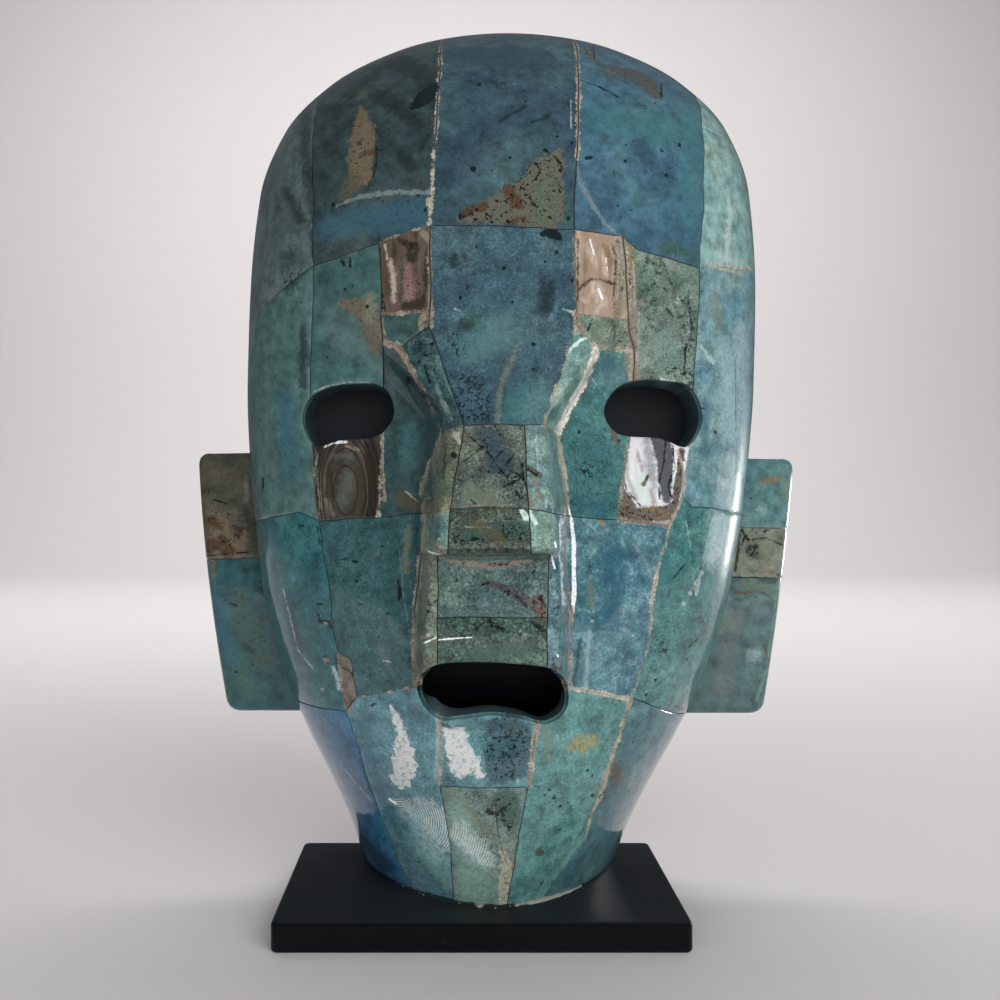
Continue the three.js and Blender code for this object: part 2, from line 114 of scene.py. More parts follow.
# Raised block of lip, nose and brow by height: half width of its front, width of its side wall, height
BLOCK = (
    (47, 12, 9, 0),
    (56, 13, 5, 5.5),
    (64, 13.5, 3.5, 9),
    (75, 13, 4, 10),
    (83.5, 12, 5, 11),
    (86.5, 11.5, 5.5, 17),
    (90, 11, 6, 17.5),
    (97, 10.5, 6.5, 15),
    (104, 9.5, 6.5, 12),
    (112, 9.5, 6, 9.5),
    (120, 14, 6, 7),
    (130, 22, 7, 4),
    (140, 28.5, 8, 1.5),
    (150, 30, 8, 0),
)

# Soft hollows and swellings: distance from the middle line, height, half spreads, depth
EYE_SOCKET = (23, 116, 11, 16, -3.5)
CHEEK = (34, 80, 18, 18, 1.5)
CHIN = (0, 34, 18, 14, 2)


def read_rows(text):
    """The rows of a table in plain text: the words that each row starts with, and then its numbers."""
    rows = []
    for line in text.strip().splitlines():
        parts = line.replace(",", " ").split()
        words = [part for part in parts if part[0].isalpha() or part[0] == "#"]
        rows.append((words, [float(part) for part in parts[len(words):]]))
    return rows


# Corners where the seams of the mosaic meet, in x and z
SEAM = {name: tuple(at) for (name,), at in read_rows("""
crownLeftOut -85 230
crownLeft -39 230
crownMidLeft -7.5 230
crownMidRight 24.5 230
crownRight 54 230
crownRightOut 90 230
foreheadMidLeft -10 172
foreheadMidRight 20.5 170
templeTopLeftOut -85 121
templeTopLeft -37 148
browShellTopLeft -22 152
browTopLeft -11 155.5
browTopRight 20 154.5
browShellTopRight 30.5 153
browVeinTop 34 150.5
templeTopRight 48.5 147.5
templeTopRightOut 90 154
shellFootLeftOut -21.7 136.5
shellFootLeft -11 137
shellFootRight 20.5 136.5
shellFootRightOut 32 135.5
rootTopLeft -11 134
rootTopRight 20.5 134
chipFootLeftOut -21.5 130.5
chipFootLeft -17.5 129.5
chipFootRight 25 129.5
chipFootRightOut 34 129.5
rootMidLeft -12.5 120
rootMidRight 22.5 122
eyeSeamLeftOut -38.5 115
eyeSeamLeft -21.7 115
eyeSeamRight 34 115
eyeSeamRightOut 48 115
bridgeTopLeft -3.8 112
bridgeTopMid 9 112
bridgeTopRight 13 112
rootFootLeft -8.7 110.5
rootFootRight 16.5 110.5
shellSideRightOut 45 97
bridgeWallLeft -13 98.5
bridgeWallRight 18.5 98.5
tipTopLeft -7 94.7
tipTopRight 9 94.7
noseSideLeft -12.2 93.5
noseSideRight 18.5 92.7
cheekSideTopLeft -41 93.5
cheekSideTopLeftOut -85 84
cheekSideTopRight 47.5 95
cheekSideTopRightOut 90 88
shellBottomLeftOut -36 91.5
shellBottomLeft -22.5 92.5
shellBottomRight 30 92
shellBottomRightOut 41.5 90.5
tipFootLeftOut -12.8 85
tipFootLeft -7 85
tipFootRight 9.4 85
tipFootRightOut 18 85
lipTopLeft -9 85
lipTopRight 13.5 85
lipMidLeftOut -14.5 72
lipMidLeft -9.5 72
lipMidRight 13.5 72
lipMidRightOut 19.5 72
cheekMidLeft -33 74
cheekMidRight 38 76.5
cheekLowLeft -32 63
cheekLowRight 37 65
chipTopLeft -28.8 61
mouthSeamLeftOut -14 56
mouthSeamLeft -9 56
mouthSeamRight 13 56
mouthSeamRightOut 19 56
jawLeft -27.2 52.5
jawLeftOut -30 49
jawRight 33 52.5
cheekSideFootLeftOut -85 47
cheekSideFootRight 54 43
cheekSideFootRightOut 90 42
chinMidLeftOut -24.5 30.5
chinMidLeft -8.7 34.8
chinMidRight 10 35.3
chinMidRightOut 26.5 32
chinLowLeftOut -20 15.8
chinLowLeft -6.8 19.7
chinLowRight 7.9 22
chinLowRightOut 23.5 19.7
footLeftOut -85 0
footLeft -13 0
footMidLeft -5.5 0
footMidRight 4.8 0
footRight 9.5 0
footRightOut 90 0
""")}

# Open seams packed with filler: the corners they run through, width in mm,
# tone from white -0.4 past cream 0 to brown 1, and whether the filler has cracked along its middle
# The two whitest seams, down the right of the nose root, are filler with a painted highlight laid into their
# white.
FILLED = read_rows("""
crownMidLeft foreheadMidLeft 0.55 0.15 1
foreheadMidLeft browTopLeft 0.5 0 0
crownMidRight foreheadMidRight 0.8 0.2 1
templeTopRight templeTopRightOut 0.5 0 0
browShellTopLeft browTopLeft 0.4 0.3 0
browTopLeft shellFootLeft 0.7 0.4 1
shellFootLeft rootTopLeft 1.6 0.3 1
shellFootLeftOut shellFootLeft 0.9 0.3 0
shellFootLeftOut chipFootLeftOut 0.7 0.6 1
chipFootLeftOut chipFootLeft 1.3 0.3 0
chipFootLeft rootMidLeft 0.8 0.35 0
rootMidLeft rootFootLeft 0.3 0.5 0
browTopRight shellFootRight 0.5 0.5 0
shellFootRight rootTopRight 1.6 0.2 0
shellFootRight shellFootRightOut 0.5 0.3 0
browShellTopRight shellFootRightOut 1.2 0.2 1
shellFootRightOut chipFootRightOut 1.4 0.35 1
rootTopRight chipFootRight 0.6 0.2 0
chipFootRight chipFootRightOut 0.8 0.15 0
chipFootRightOut eyeSeamRight 1.3 0.25 1
chipFootRight rootMidRight 1.5 -0.5 0
rootMidRight rootFootRight 1.6 -0.5 0
rootTopRight bridgeTopRight 0.35 0.2 0
rootFootRight bridgeWallRight 1.2 0 0
bridgeWallRight noseSideRight 1 0.3 0
noseSideRight tipFootRightOut 0.7 0.35 0
tipFootRightOut lipMidRightOut 0.6 0.45 0
lipMidRightOut mouthSeamRightOut 0.6 0.3 0
rootFootLeft bridgeWallLeft 0.9 0.3 0
bridgeWallLeft noseSideLeft 0.6 0.4 0
noseSideLeft tipFootLeftOut 0.9 0 0
tipFootLeftOut lipMidLeftOut 1.1 0.2 1
lipMidLeftOut mouthSeamLeftOut 1.1 0.3 0
tipTopLeft noseSideLeft 0.3 0.4 0
tipFootLeftOut lipTopLeft 0.6 0.35 0
lipTopRight tipFootRightOut 0.4 0.4 0
bridgeTopLeft rootFootLeft 0.6 0.4 0
bridgeTopRight rootFootRight 0.7 0.3 0
eyeSeamLeft shellBottomLeft 0.4 0.3 0
eyeSeamLeftOut shellBottomLeftOut 0.4 0.7 0
eyeSeamRight shellBottomRight 0.6 0.3 0
shellBottomRight shellBottomRightOut 0.8 0.35 0
eyeSeamRightOut shellSideRightOut 0.5 0.1 0
shellSideRightOut shellBottomRightOut 0.7 0.2 0
shellBottomRightOut cheekMidRight 0.7 0.05 0
cheekMidRight cheekLowRight 0.7 0.1 0
cheekLowRight jawRight 0.7 0.15 0
mouthSeamRightOut jawRight 0.9 0 0
jawRight chinMidRightOut 1.1 0.15 0
chinMidRightOut chinLowRightOut 0.6 0.1 0
mouthSeamRight chinMidRight 1.1 0.25 0
mouthSeamLeft chinMidLeft 0.8 0.1 0
jawLeft mouthSeamLeftOut 0.25 0.4 0
cheekLowLeft jawLeftOut 0.3 0.4 0
""")

# Each tile of the face, by part of the face: the seam corners around it
FOREHEAD = {
    "forehead_left_side": "crownLeftOut crownLeft templeTopLeft templeTopLeftOut",
    "forehead_left": "crownLeft crownMidLeft foreheadMidLeft browTopLeft browShellTopLeft templeTopLeft",
    "forehead_centre": "crownMidLeft crownMidRight foreheadMidRight browTopRight browTopLeft foreheadMidLeft",
    "forehead_right": "crownMidRight crownRight templeTopRight browVeinTop browShellTopRight browTopRight "
    "foreheadMidRight",
    "forehead_right_side": "crownRight crownRightOut templeTopRightOut templeTopRight",
}
BROW = {
    "temple_left": "templeTopLeftOut templeTopLeft eyeSeamLeftOut shellBottomLeftOut cheekSideTopLeft "
    "cheekSideTopLeftOut",
    "brow_left": "templeTopLeft browShellTopLeft shellFootLeftOut chipFootLeftOut eyeSeamLeft eyeSeamLeftOut",
    "brow_centre": "browTopLeft browTopRight shellFootRight rootTopRight bridgeTopRight bridgeTopMid "
    "bridgeTopLeft rootTopLeft shellFootLeft",
    "brow_right": "browShellTopRight browVeinTop templeTopRight eyeSeamRightOut eyeSeamRight "
    "chipFootRightOut shellFootRightOut",
    "temple_right": "templeTopRight templeTopRightOut cheekSideTopRightOut cheekSideTopRight "
    "shellSideRightOut eyeSeamRightOut",
    "brow_chip_left": "shellFootLeftOut shellFootLeft rootTopLeft chipFootLeft chipFootLeftOut",
    "brow_chip_right": "shellFootRight shellFootRightOut chipFootRightOut chipFootRight rootTopRight",
    "inner_eye_left": "chipFootLeftOut chipFootLeft rootMidLeft rootFootLeft bridgeWallLeft noseSideLeft "
    "shellBottomLeft eyeSeamLeft",
    "inner_eye_right": "chipFootRight chipFootRightOut eyeSeamRight shellBottomRight noseSideRight "
    "bridgeWallRight rootFootRight rootMidRight",
}
SHELLS = {
    "brow_shell_left": "browShellTopLeft browTopLeft shellFootLeft shellFootLeftOut",
    "brow_shell_right": "browTopRight browShellTopRight shellFootRightOut shellFootRight",
    "cheek_shell_left": "eyeSeamLeftOut eyeSeamLeft shellBottomLeft shellBottomLeftOut",
    "cheek_shell_right": "eyeSeamRight eyeSeamRightOut shellSideRightOut shellBottomRightOut "
    "shellBottomRight",
}
NOSE = {
    "nose_root_left": "rootTopLeft bridgeTopLeft rootFootLeft rootMidLeft chipFootLeft",
    "nose_root_right": "rootTopRight chipFootRight rootMidRight rootFootRight bridgeTopRight",
    "nose_bridge_centre": "bridgeTopLeft bridgeTopMid tipTopRight tipTopLeft",
    "nose_bridge_left": "bridgeTopLeft tipTopLeft noseSideLeft bridgeWallLeft rootFootLeft",
    "nose_bridge_right": "bridgeTopMid bridgeTopRight rootFootRight bridgeWallRight noseSideRight "
    "tipTopRight",
    "nose_tip_centre": "tipTopLeft tipTopRight tipFootRight tipFootLeft",
    "nose_tip_left": "noseSideLeft tipTopLeft tipFootLeft lipTopLeft tipFootLeftOut",
    "nose_tip_right": "tipTopRight noseSideRight tipFootRightOut lipTopRight tipFootRight",
}
LIP = {
    "lip_centre_upper": "lipTopLeft tipFootLeft tipFootRight lipTopRight lipMidRight lipMidLeft",
    "lip_centre_lower": "lipMidLeft lipMidRight mouthSeamRight mouthSeamLeft",
    "lip_left": "tipFootLeftOut lipTopLeft lipMidLeft mouthSeamLeft mouthSeamLeftOut lipMidLeftOut",
    "lip_right": "lipTopRight tipFootRightOut lipMidRightOut mouthSeamRightOut mouthSeamRight lipMidRight",
}
CHEEKS = {
    "cheek_left": "shellBottomLeftOut shellBottomLeft noseSideLeft tipFootLeftOut lipMidLeftOut "
    "mouthSeamLeftOut jawLeft chipTopLeft cheekLowLeft cheekMidLeft",
    "cheek_chip_left": "cheekLowLeft chipTopLeft jawLeft jawLeftOut",
    "cheek_left_side": "cheekSideTopLeftOut cheekSideTopLeft shellBottomLeftOut cheekMidLeft cheekLowLeft "
    "jawLeftOut cheekSideFootLeftOut",
    "cheek_right": "noseSideRight shellBottomRight shellBottomRightOut cheekMidRight cheekLowRight jawRight "
    "mouthSeamRightOut lipMidRightOut tipFootRightOut",
    "cheek_right_side": "shellSideRightOut cheekSideTopRight cheekSideTopRightOut cheekSideFootRightOut "
    "cheekSideFootRight jawRight cheekLowRight cheekMidRight shellBottomRightOut",
}
CHIN_TILES = {
    "chin_left_side": "cheekSideFootLeftOut jawLeftOut chinMidLeftOut chinLowLeftOut footLeft footLeftOut",
    "chin_left": "jawLeft mouthSeamLeftOut mouthSeamLeft chinMidLeft chinLowLeft footMidLeft footLeft "
    "chinLowLeftOut chinMidLeftOut jawLeftOut",
    "chin_centre_upper": "mouthSeamLeft mouthSeamRight chinMidRight chinMidLeft",
    "chin_centre_lower": "chinMidLeft chinMidRight chinLowRight footMidRight footMidLeft chinLowLeft",
    "chin_right": "mouthSeamRight mouthSeamRightOut jawRight chinMidRightOut chinLowRightOut footRight "
    "footMidRight chinLowRight chinMidRight",
    "chin_right_side": "jawRight cheekSideFootRight cheekSideFootRightOut footRightOut footRight "
    "chinLowRightOut chinMidRightOut",
}

# Outlines of the eye and mouth slots, as smooth closed curves through a few points
EYE_LEFT = ((-40.2, 114.5), (-37.5, 119.8), (-29, 122.2), (-21.5, 121.2), (-19.3, 115.5), (-23, 110.6),
            (-31, 109.6), (-37.3, 108.4))
EYE_RIGHT = ((27.7, 116), (31, 121.5), (38, 123), (47, 121.5), (50.3, 114.5), (46.5, 108.2), (40, 110),
             (31, 111))
MOUTH = ((-14.1, 56.3), (-12.6, 60), (-8.8, 62.2), (-2, 62.7), (5.7, 62.4), (13.5, 61.4), (17.6, 58.6),
         (19, 54.5), (17.9, 50.6), (13.6, 48.2), (8.4, 49.7), (1.7, 50.5), (-4.5, 49.5), (-8.8, 49.1),
         (-12.4, 52))
SLOTS = (
    (EYE_LEFT, EYE_WALL, EYE_FLOOR_Y),
    (EYE_RIGHT, EYE_WALL, EYE_FLOOR_Y),
    (MOUTH, MOUTH_WALL, MOUTH_FLOOR_Y),
)
# How far each lining is drawn in at its rear end, sideways and in height
SLOT_TAPER = 0.8, 0.3
# The mouth's lower wall slopes up most at the left: x and rise
MOUTH_LIFT = (-14, -10, -5, 6, 14), (0.6, 1.9, 0.4, 0.2, -0.4)


def read_table(table, z):
    """Smooth curve through the rows of a table, read at height z."""
    last = len(table) - 1
    if z <= table[0][0]:
        return table[0][1:]
    if z >= table[last][0]:
        return table[last][1:]
    i = next(k for k in range(last + 1) if table[k][0] > z) - 1
    h = table[i + 1][0] - table[i][0]
    t = (z - table[i][0]) / h

    def rise(j, k):
        return (table[j + 1][k] - table[j][k]) / (table[j + 1][0] - table[j][0])

    def slope(j, k):
        if j in (0, last):
            return rise(min(j, last - 1), k)
        before, after = rise(j - 1, k), rise(j, k)
        return 0 if before * after <= 0 else 2 * before * after / (before + after)

    values = []
    for k in range(1, len(table[0])):
        keep = 2 * t**3 - 3 * t**2 + 1
        leave = (t**3 - 2 * t**2 + t) * h * slope(i, k)
        arrive = (t**3 - t**2) * h * slope(i + 1, k)
        values.append(keep * table[i][k] + leave + (1 - keep) * table[i + 1][k] + arrive)
    return values


# The tables read once at fine steps, and the lengths that unroll the face into a flat sheet
HEIGHTS = np.linspace(BASE_TOP, CROWN_Z, 1400)
WIDTH, DEPTH, POWER = np.array([read_table(SECTIONS, z) for z in HEIGHTS]).T
BLOCK_FRONT, BLOCK_WALL, BLOCK_HEIGHT = np.array([read_table(BLOCK, z) for z in HEIGHTS]).T


def ease(value):
    value = np.clip(value, 0, 1)
    return value * value * (3 - 2 * value)


def squircle(angle, power):
    sine, cosine = np.sin(angle), np.clip(np.cos(angle), 0, 1)
    radius = (sine**power + cosine**power) ** (-1 / power)
    return radius * sine, radius * cosine


def half_girths():
    """Length of each section from the middle line to the rim."""
    angles = np.linspace(0, math.pi / 2, 40)[:, None]
    across, forward = squircle(angles, POWER[None, :])
    steps = np.hypot(np.diff(across * WIDTH, axis=0), np.diff(forward * DEPTH, axis=0))
    return steps.sum(axis=0)


HALF_GIRTH = half_girths()
CLIMB = np.hypot(np.diff(HEIGHTS), np.maximum(np.abs(np.diff(DEPTH)), np.abs(np.diff(WIDTH))))
PROFILE = np.concatenate(([0.0], np.cumsum(CLIMB)))
PROFILE_END = PROFILE[-1]


def middle_x(z):
    return CENTRE_X + (z - BASE_TOP) * LEAN_SLOPE


def swelling(place, x, z):
    at_x, at_z, spread_x, spread_z, depth = place
    return depth * np.exp(-(((x - at_x) / spread_x) ** 2) - ((z - at_z) / spread_z) ** 2)


def carving(x, z):
    """How far the carving stands in front of the plain face, x measured from the middle line."""
    front, wall, height = (np.interp(z, HEIGHTS, c) for c in (BLOCK_FRONT, BLOCK_WALL, BLOCK_HEIGHT))
    block = height * ease((front + wall - np.abs(x - NOSE_SHIFT)) / wall)
    side = np.abs(x)
    return block + swelling(EYE_SOCKET, side, z) + swelling(CHEEK, side, z) + swelling(CHIN, x, z)


def lay_on_face(a, t):
    """Where a point of the flat sheet lies on the face: a runs round the section and t up the profile."""
    z = np.interp(t, PROFILE, HEIGHTS)
    width, depth, power, girth = (np.interp(z, HEIGHTS, c) for c in (WIDTH, DEPTH, POWER, HALF_GIRTH))
    across, forward = squircle(np.clip(np.abs(a) / girth, 0, 1) * math.pi / 2, power)
    x = np.sign(a) * width * across
    y = RIM_Y - depth * forward - carving(x, z) * ease(forward / 0.33)
    y = y + np.clip(np.abs(a) - girth, 0, RIM)
    y = y + (BACK_Y - y) * np.clip((t - PROFILE_END) / CAP, 0, 1)
    return np.stack((middle_x(z) + x, y, z), axis=-1)


def face_normal(a, t):
    step = 0.15
    side = lay_on_face(a + step, t) - lay_on_face(a - step, t)
    up = lay_on_face(a, np.minimum(t + step, PROFILE_END)) - lay_on_face(a, np.maximum(t - step, 0))
    up[t > PROFILE_END] = (0, 1, 0)
    normal = np.cross(side, up)
    length = np.linalg.norm(normal, axis=-1, keepdims=True)
    # At the two ends of the crown's flat strip the sheet shrinks to a line, where the tiles are mitred
    mitre = np.stack((np.sign(a), np.zeros_like(a), np.ones_like(a)), axis=-1)
    return np.where(length > 1e-9, normal / np.maximum(length, 1e-9), mitre)


def sheet_point(x, z):
    """The flat sheet's point under a point of the front view."""
    z = np.asarray(z, float)
    inside_z = np.clip(z, BASE_TOP, CROWN_Z)
    t = np.interp(inside_z, HEIGHTS, PROFILE) + np.where(z > CROWN_Z, CAP, 0)
    width, power, girth = (np.interp(inside_z, HEIGHTS, c) for c in (WIDTH, POWER, HALF_GIRTH))
    offset = np.asarray(x, float) - middle_x(inside_z)
    across = np.clip(np.abs(offset) / width, 0, 1)
    forward = (1 - across**power) ** (1 / power)
    a = np.arctan2(across, forward) / (math.pi / 2) * girth
    a = np.where(across >= 1, girth + RIM, a)
    return np.stack((np.sign(offset) * a, t), axis=-1)


# Flat outlines

def closed_curve(points, steps=10):
    """A smooth closed curve through a few points."""
    count = len(points)
    curve = []
    for i in range(count):
        p0, p1, p2, p3 = (np.array(points[(i + k - 1) % count], float) for k in range(4))
        for s in range(steps):
            t = s / steps
            curve.append(0.5 * (2 * p1 + (p2 - p0) * t + (2 * p0 - 5 * p1 + 4 * p2 - p3) * t * t
                                + (3 * p1 - p0 - 3 * p2 + p3) * t**3))
    return np.array(curve)


def hand_cut(points):
    """Moves seam points a little, the same way for every tile that shares them, as hand cutting does."""
    moved = []
    for x, z in points:
        bow = noise.noise_vector(Vector((x * BOW_PITCH, 0.0, z * BOW_PITCH)))
        nick = noise.noise_vector(Vector((x * NICK_PITCH, 3.0, z * NICK_PITCH)))
        moved.append((x + SEAM_BOW * bow.x + SEAM_NICK * nick.x, z + SEAM_BOW * bow.z + SEAM_NICK * nick.z))
    return np.array(moved)


def divided(points, step=0.7, closed=True):
    """A polygon with extra points along its edges."""
    points = [np.array(p, float) for p in points]
    ends = points[1:] + points[:1] if closed else points[1:]
    dense = []
    for start, end in zip(points, ends):
        count = max(1, round(np.linalg.norm(end - start) / step))
        dense += [start + (end - start) * k / count for k in range(count)]
    if not closed:
        dense.append(points[-1])
    return np.array(dense)


def drawn_in(outline, distance):
    """Draws a closed outline in by a distance, point by point."""
    before = np.roll(outline, 1, axis=0)
    after = np.roll(outline, -1, axis=0)
    area = np.sum(outline[:, 0] * after[:, 1] - after[:, 0] * outline[:, 1])
    turn = 1 if area > 0 else -1

    def inward(vector):
        length = np.maximum(np.linalg.norm(vector, axis=1, keepdims=True), 1e-9)
        return np.stack((-vector[:, 1], vector[:, 0]), axis=1) / length * turn

    first, second = inward(outline - before), inward(after - outline)
    share = 1 + np.sum(first * second, axis=1, keepdims=True)
    return outline + (first + second) * distance / np.maximum(share, 0.35)


def without_doubles(outline, apart=0.2):
    kept = [outline[0]]
    for point in outline[1:]:
        if np.linalg.norm(point - kept[-1]) > apart:
            kept.append(point)
    if np.linalg.norm(kept[0] - kept[-1]) <= apart:
        kept.pop()
    return np.array(kept)


def is_inside(outline, points):
    inside = np.zeros(len(points), bool)
    for (x1, y1), (x2, y2) in zip(outline, np.roll(outline, -1, axis=0)):
        crosses = (y1 > points[:, 1]) != (y2 > points[:, 1])
        if not crosses.any():
            continue
        at = (x2 - x1) * (points[:, 1] - y1) / (y2 - y1 if y2 != y1 else 1e-12) + x1
        inside ^= crosses & (points[:, 0] < at)
    return inside


def distance_to(outline, points, closed=True):
    nearest = np.full(len(points), 1e9)
    ends = np.roll(outline, -1, axis=0) if closed else outline[1:]
    for start, end in zip(outline, ends):
        along = end - start
        share = np.clip((points - start) @ along / max(along @ along, 1e-12), 0, 1)
        nearest = np.minimum(nearest, np.linalg.norm(points - start - share[:, None] * along, axis=1))
    return nearest


def overlaps(first, second):
    return (first.min(0) < second.max(0)).all() and (second.min(0) < first.max(0)).all()


def flat_patch(outline, holes, spacing, rings, hole_rings):
    """An even triangle sheet inside an outline and outside its holes, with rings along their edges."""
    holes = [hole for hole in holes if overlaps(outline, hole)]
    lines = [outline, *holes]
    lines += [drawn_in(outline, ring) for ring in rings]
    lines += [drawn_in(hole, -ring) for hole in holes for ring in hole_rings]
    low, high = outline.min(0), outline.max(0)
    columns = np.arange(low[0], high[0], spacing)
    rows = np.arange(low[1], high[1], spacing * TRIANGLE_ROW)
    grid = np.array([(x + (j % 2) * spacing / 2, y) for j, y in enumerate(rows) for x in columns])
    for line, inner in [(outline, rings)] + [(hole, hole_rings) for hole in holes]:
        if len(grid):
            apart = max(inner, default=0) + spacing * 0.5
            grid = grid[(is_inside(line, grid) == (line is outline)) & (distance_to(line, grid) > apart)]
    points, edges = [], []
    for line in lines:
        start = len(points)
        points += [Vector(p) for p in line]
        edges += [(start + k, start + (k + 1) % len(line)) for k in range(len(line))]
    points += [Vector(p) for p in grid]
    made = delaunay_2d_cdt(points, edges, [], 0, 1e-4)
    places, faces = np.array([tuple(v) for v in made[0]]), made[2]
    centres = np.array([places[list(face)].mean(axis=0) for face in faces])
    keep = is_inside(outline, centres) & (distance_to(outline, centres) > SLIVER)
    for hole in holes:
        keep &= ~is_inside(hole, centres) & (distance_to(hole, centres) > SLIVER)
    bm = bmesh.new()
    verts = [bm.verts.new((x, y, 0)) for x, y in places]
    for face, wanted in zip(faces, keep):
        if wanted:
            bm.faces.new([verts[i] for i in face])
    bmesh.ops.delete(bm, geom=[v for v in verts if not v.link_faces], context="VERTS")
    bm.verts.index_update()
    return bm


def rounding(distance, radius, depth):
    """How far an arris falls away below the face, at a distance from its edge."""
    return depth * np.clip(1 - distance / radius, 0, 1) ** 2


def finish_mesh(bm, name, material, node=None):
    """Turns a finished bmesh, in millimetres, into a piece of the object."""
    bmesh.ops.recalc_face_normals(bm, faces=bm.faces[:])
    bmesh.ops.scale(bm, vec=(MM, MM, MM), verts=bm.verts[:])
    mesh = bpy.data.meshes.new(name)
    bm.to_mesh(mesh)
    bm.free()
    mesh.materials.append(material)
    mesh.shade_smooth()
    mesh.set_sharp_from_angle(angle=math.radians(SHARP_ANGLE))
    piece = bpy.data.objects.new(name, mesh)
    bpy.context.scene.collection.objects.link(piece)
    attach(piece, "root")
    if node:
        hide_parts(node)
    return piece


def filled_seams(corner_names):
    """The filled seams between the corners of a tile: their lines, half widths, tones and cracks."""
    own = set(corner_names.split())
    seams = []
    for names, (width, tone, cracked) in FILLED:
        if own.issuperset(names):
            line = hand_cut(divided([SEAM[name] for name in names], closed=False))
            seams.append((sheet_point(line[:, 0], line[:, 1]), width / 2, tone, cracked))
    return seams


def filler_at(seams, points):
    """For points on the unrolled face, in mm: distance past the nearest seam's filler, its tone, its core."""
    past, tones, core = (np.full(len(points), value) for value in (FILLER_REACH, 0.0, FILLER_REACH))
    for line, half_width, tone, cracked in seams:
        apart = distance_to(line, points, closed=False)
        tones = np.where(apart - half_width < past, tone, tones)
        past = np.minimum(past, apart - half_width)
        if cracked:
            core = np.minimum(core, apart)
    return past, tones, core


def face_tile(name, corner_names, material, settings):
    """One tile: its outline unrolled, filled, edged, laid back on the face and given its thickness."""
    corners = [SEAM[corner] for corner in corner_names.split()]
    outline = hand_cut(divided(corners))
    sheet = without_doubles(sheet_point(outline[:, 0], outline[:, 1]))
    seams = filled_seams(corner_names)
    packed = filler_at(seams, sheet)[0] < 0
    sheet = drawn_in(sheet, np.where(packed, 0.02, settings.seam / 2)[:, None])
    holes = [sheet_point(*closed_curve(points).T) for points, _, _ in SLOTS]
    rings = settings.arris * 0.4, settings.arris
    hole_rings = tuple(settings.slot_arris * share for share in (0.3, 1))
    bm = flat_patch(sheet, holes, settings.spacing, rings, hole_rings)
    flat = np.array([v.co[:2] for v in bm.verts])
    past, tones, core = filler_at(seams, flat)
    recorded = {"filler": FILLER_REACH - past, "filler_tone": tones, "filler_core": FILLER_REACH - core}
    for layer_name, values in recorded.items():
        layer = bm.verts.layers.float.new(layer_name)
        for v, value in zip(bm.verts, values):
            v[layer] = value
    edge = distance_to(sheet, flat)
    open_seam = np.clip(past / 0.5, 0.15, 1)
    sink = rounding(edge, settings.arris, settings.arris * ARRIS_DEPTH) * open_seam
    wall = np.zeros(len(flat))
    for hole, (_, depth, _) in zip(holes, SLOTS):
        if overlaps(sheet, hole):
            apart = distance_to(hole, flat)
            fall = rounding(apart, settings.slot_arris, settings.slot_arris * SLOT_ARRIS_DEPTH)
            sink = np.maximum(sink, fall)
            wall[apart < 1e-3] = depth
    place = lay_on_face(flat[:, 0], flat[:, 1])
    out = face_normal(flat[:, 0], flat[:, 1])
    front = place - out * sink[:, None]
    rear = np.where(wall[:, None] > 0, slot_rear(place, wall), place - out * settings.thickness)
    thicken(bm, front, rear, np.where(wall == MOUTH_WALL, 1, np.where(wall == EYE_WALL, -1, 0)))
    return finish_mesh(bm, name, material, name)


def slot_rear(place, wall):
    """Where the lining of a slot ends: further back and, as it was cut by hand, drawn in a little."""
    rear = place + wall[:, None] * (0, 1, 0)
    for points, depth, _ in SLOTS:
        low, high = np.min(points, axis=0), np.max(points, axis=0)
        middle, half = (low + high) / 2, (high - low) / 2
        inside = (wall == depth) & (np.abs(rear[:, 0] - middle[0]) < half[0] + 1)
        for axis, column in ((0, 0), (1, 2)):
            rear[inside, column] -= (rear[inside, column] - middle[axis]) / half[axis] * SLOT_TAPER[axis]
    in_mouth = wall == MOUTH_WALL
    lift = np.interp(rear[:, 0], *MOUTH_LIFT) * np.clip((54 - rear[:, 2]) / 3, 0, 1)
    rear[in_mouth, 2] += lift[in_mouth]
    return rear


def thicken(bm, front, rear, sawn=None):
    """Gives a sheet its thickness, between a front and a rear place, and marks the rear of sawn walls."""
    layer = bm.verts.layers.float.new("sawn")
    made = bmesh.ops.extrude_face_region(bm, geom=bm.faces[:])["geom"]
    under = {v for v in made if isinstance(v, bmesh.types.BMVert)}
    old = [v for v in bm.verts if v not in under]
    flat = {tuple(v.co[:2]): k for k, v in enumerate(old)}
    bm.verts.index_update()
    for v in bm.verts:
        index = flat[tuple(v.co[:2])]
        at = (rear if v in under else front)[index].copy()
        if v in under and sawn is not None:
            v[layer] = sawn[index]
        at[2] = max(at[2], BASE_TOP)
        v.co = at


# Materials

def linear(hex_colour):
    """An sRGB hex colour as linear light."""
    values = [int(hex_colour[i:i + 2], 16) / 255 for i in (1, 3, 5)]
    return tuple(v / 12.92 if v <= 0.04045 else ((v + 0.055) / 1.055) ** 2.4 for v in values) + (1.0,)


def add(tree, kind, inputs=(), output=0, **settings):
    """Adds a node with its settings, values and links, and returns one of its outputs."""
    node = tree.nodes.new("ShaderNode" + kind)
    for key, value in settings.items():
        setattr(node, key, value)
    for key, value in dict(inputs).items():
        if isinstance(value, bpy.types.NodeSocket):
            tree.links.new(value, node.inputs[key])
        else:
            node.inputs[key].default_value = value
    return node.outputs[output] if node.outputs else None


def new_material(name):
    """A material, its node tree and a place on the object in millimetres."""
    material = bpy.data.materials.new(name)
    material.use_nodes = True
    tree = material.node_tree
    tree.nodes.clear()
    where = add(tree, "TexCoord", output="Object")
    return material, tree, add(tree, "Mapping", {"Vector": where, "Scale": (1 / MM,) * 3})


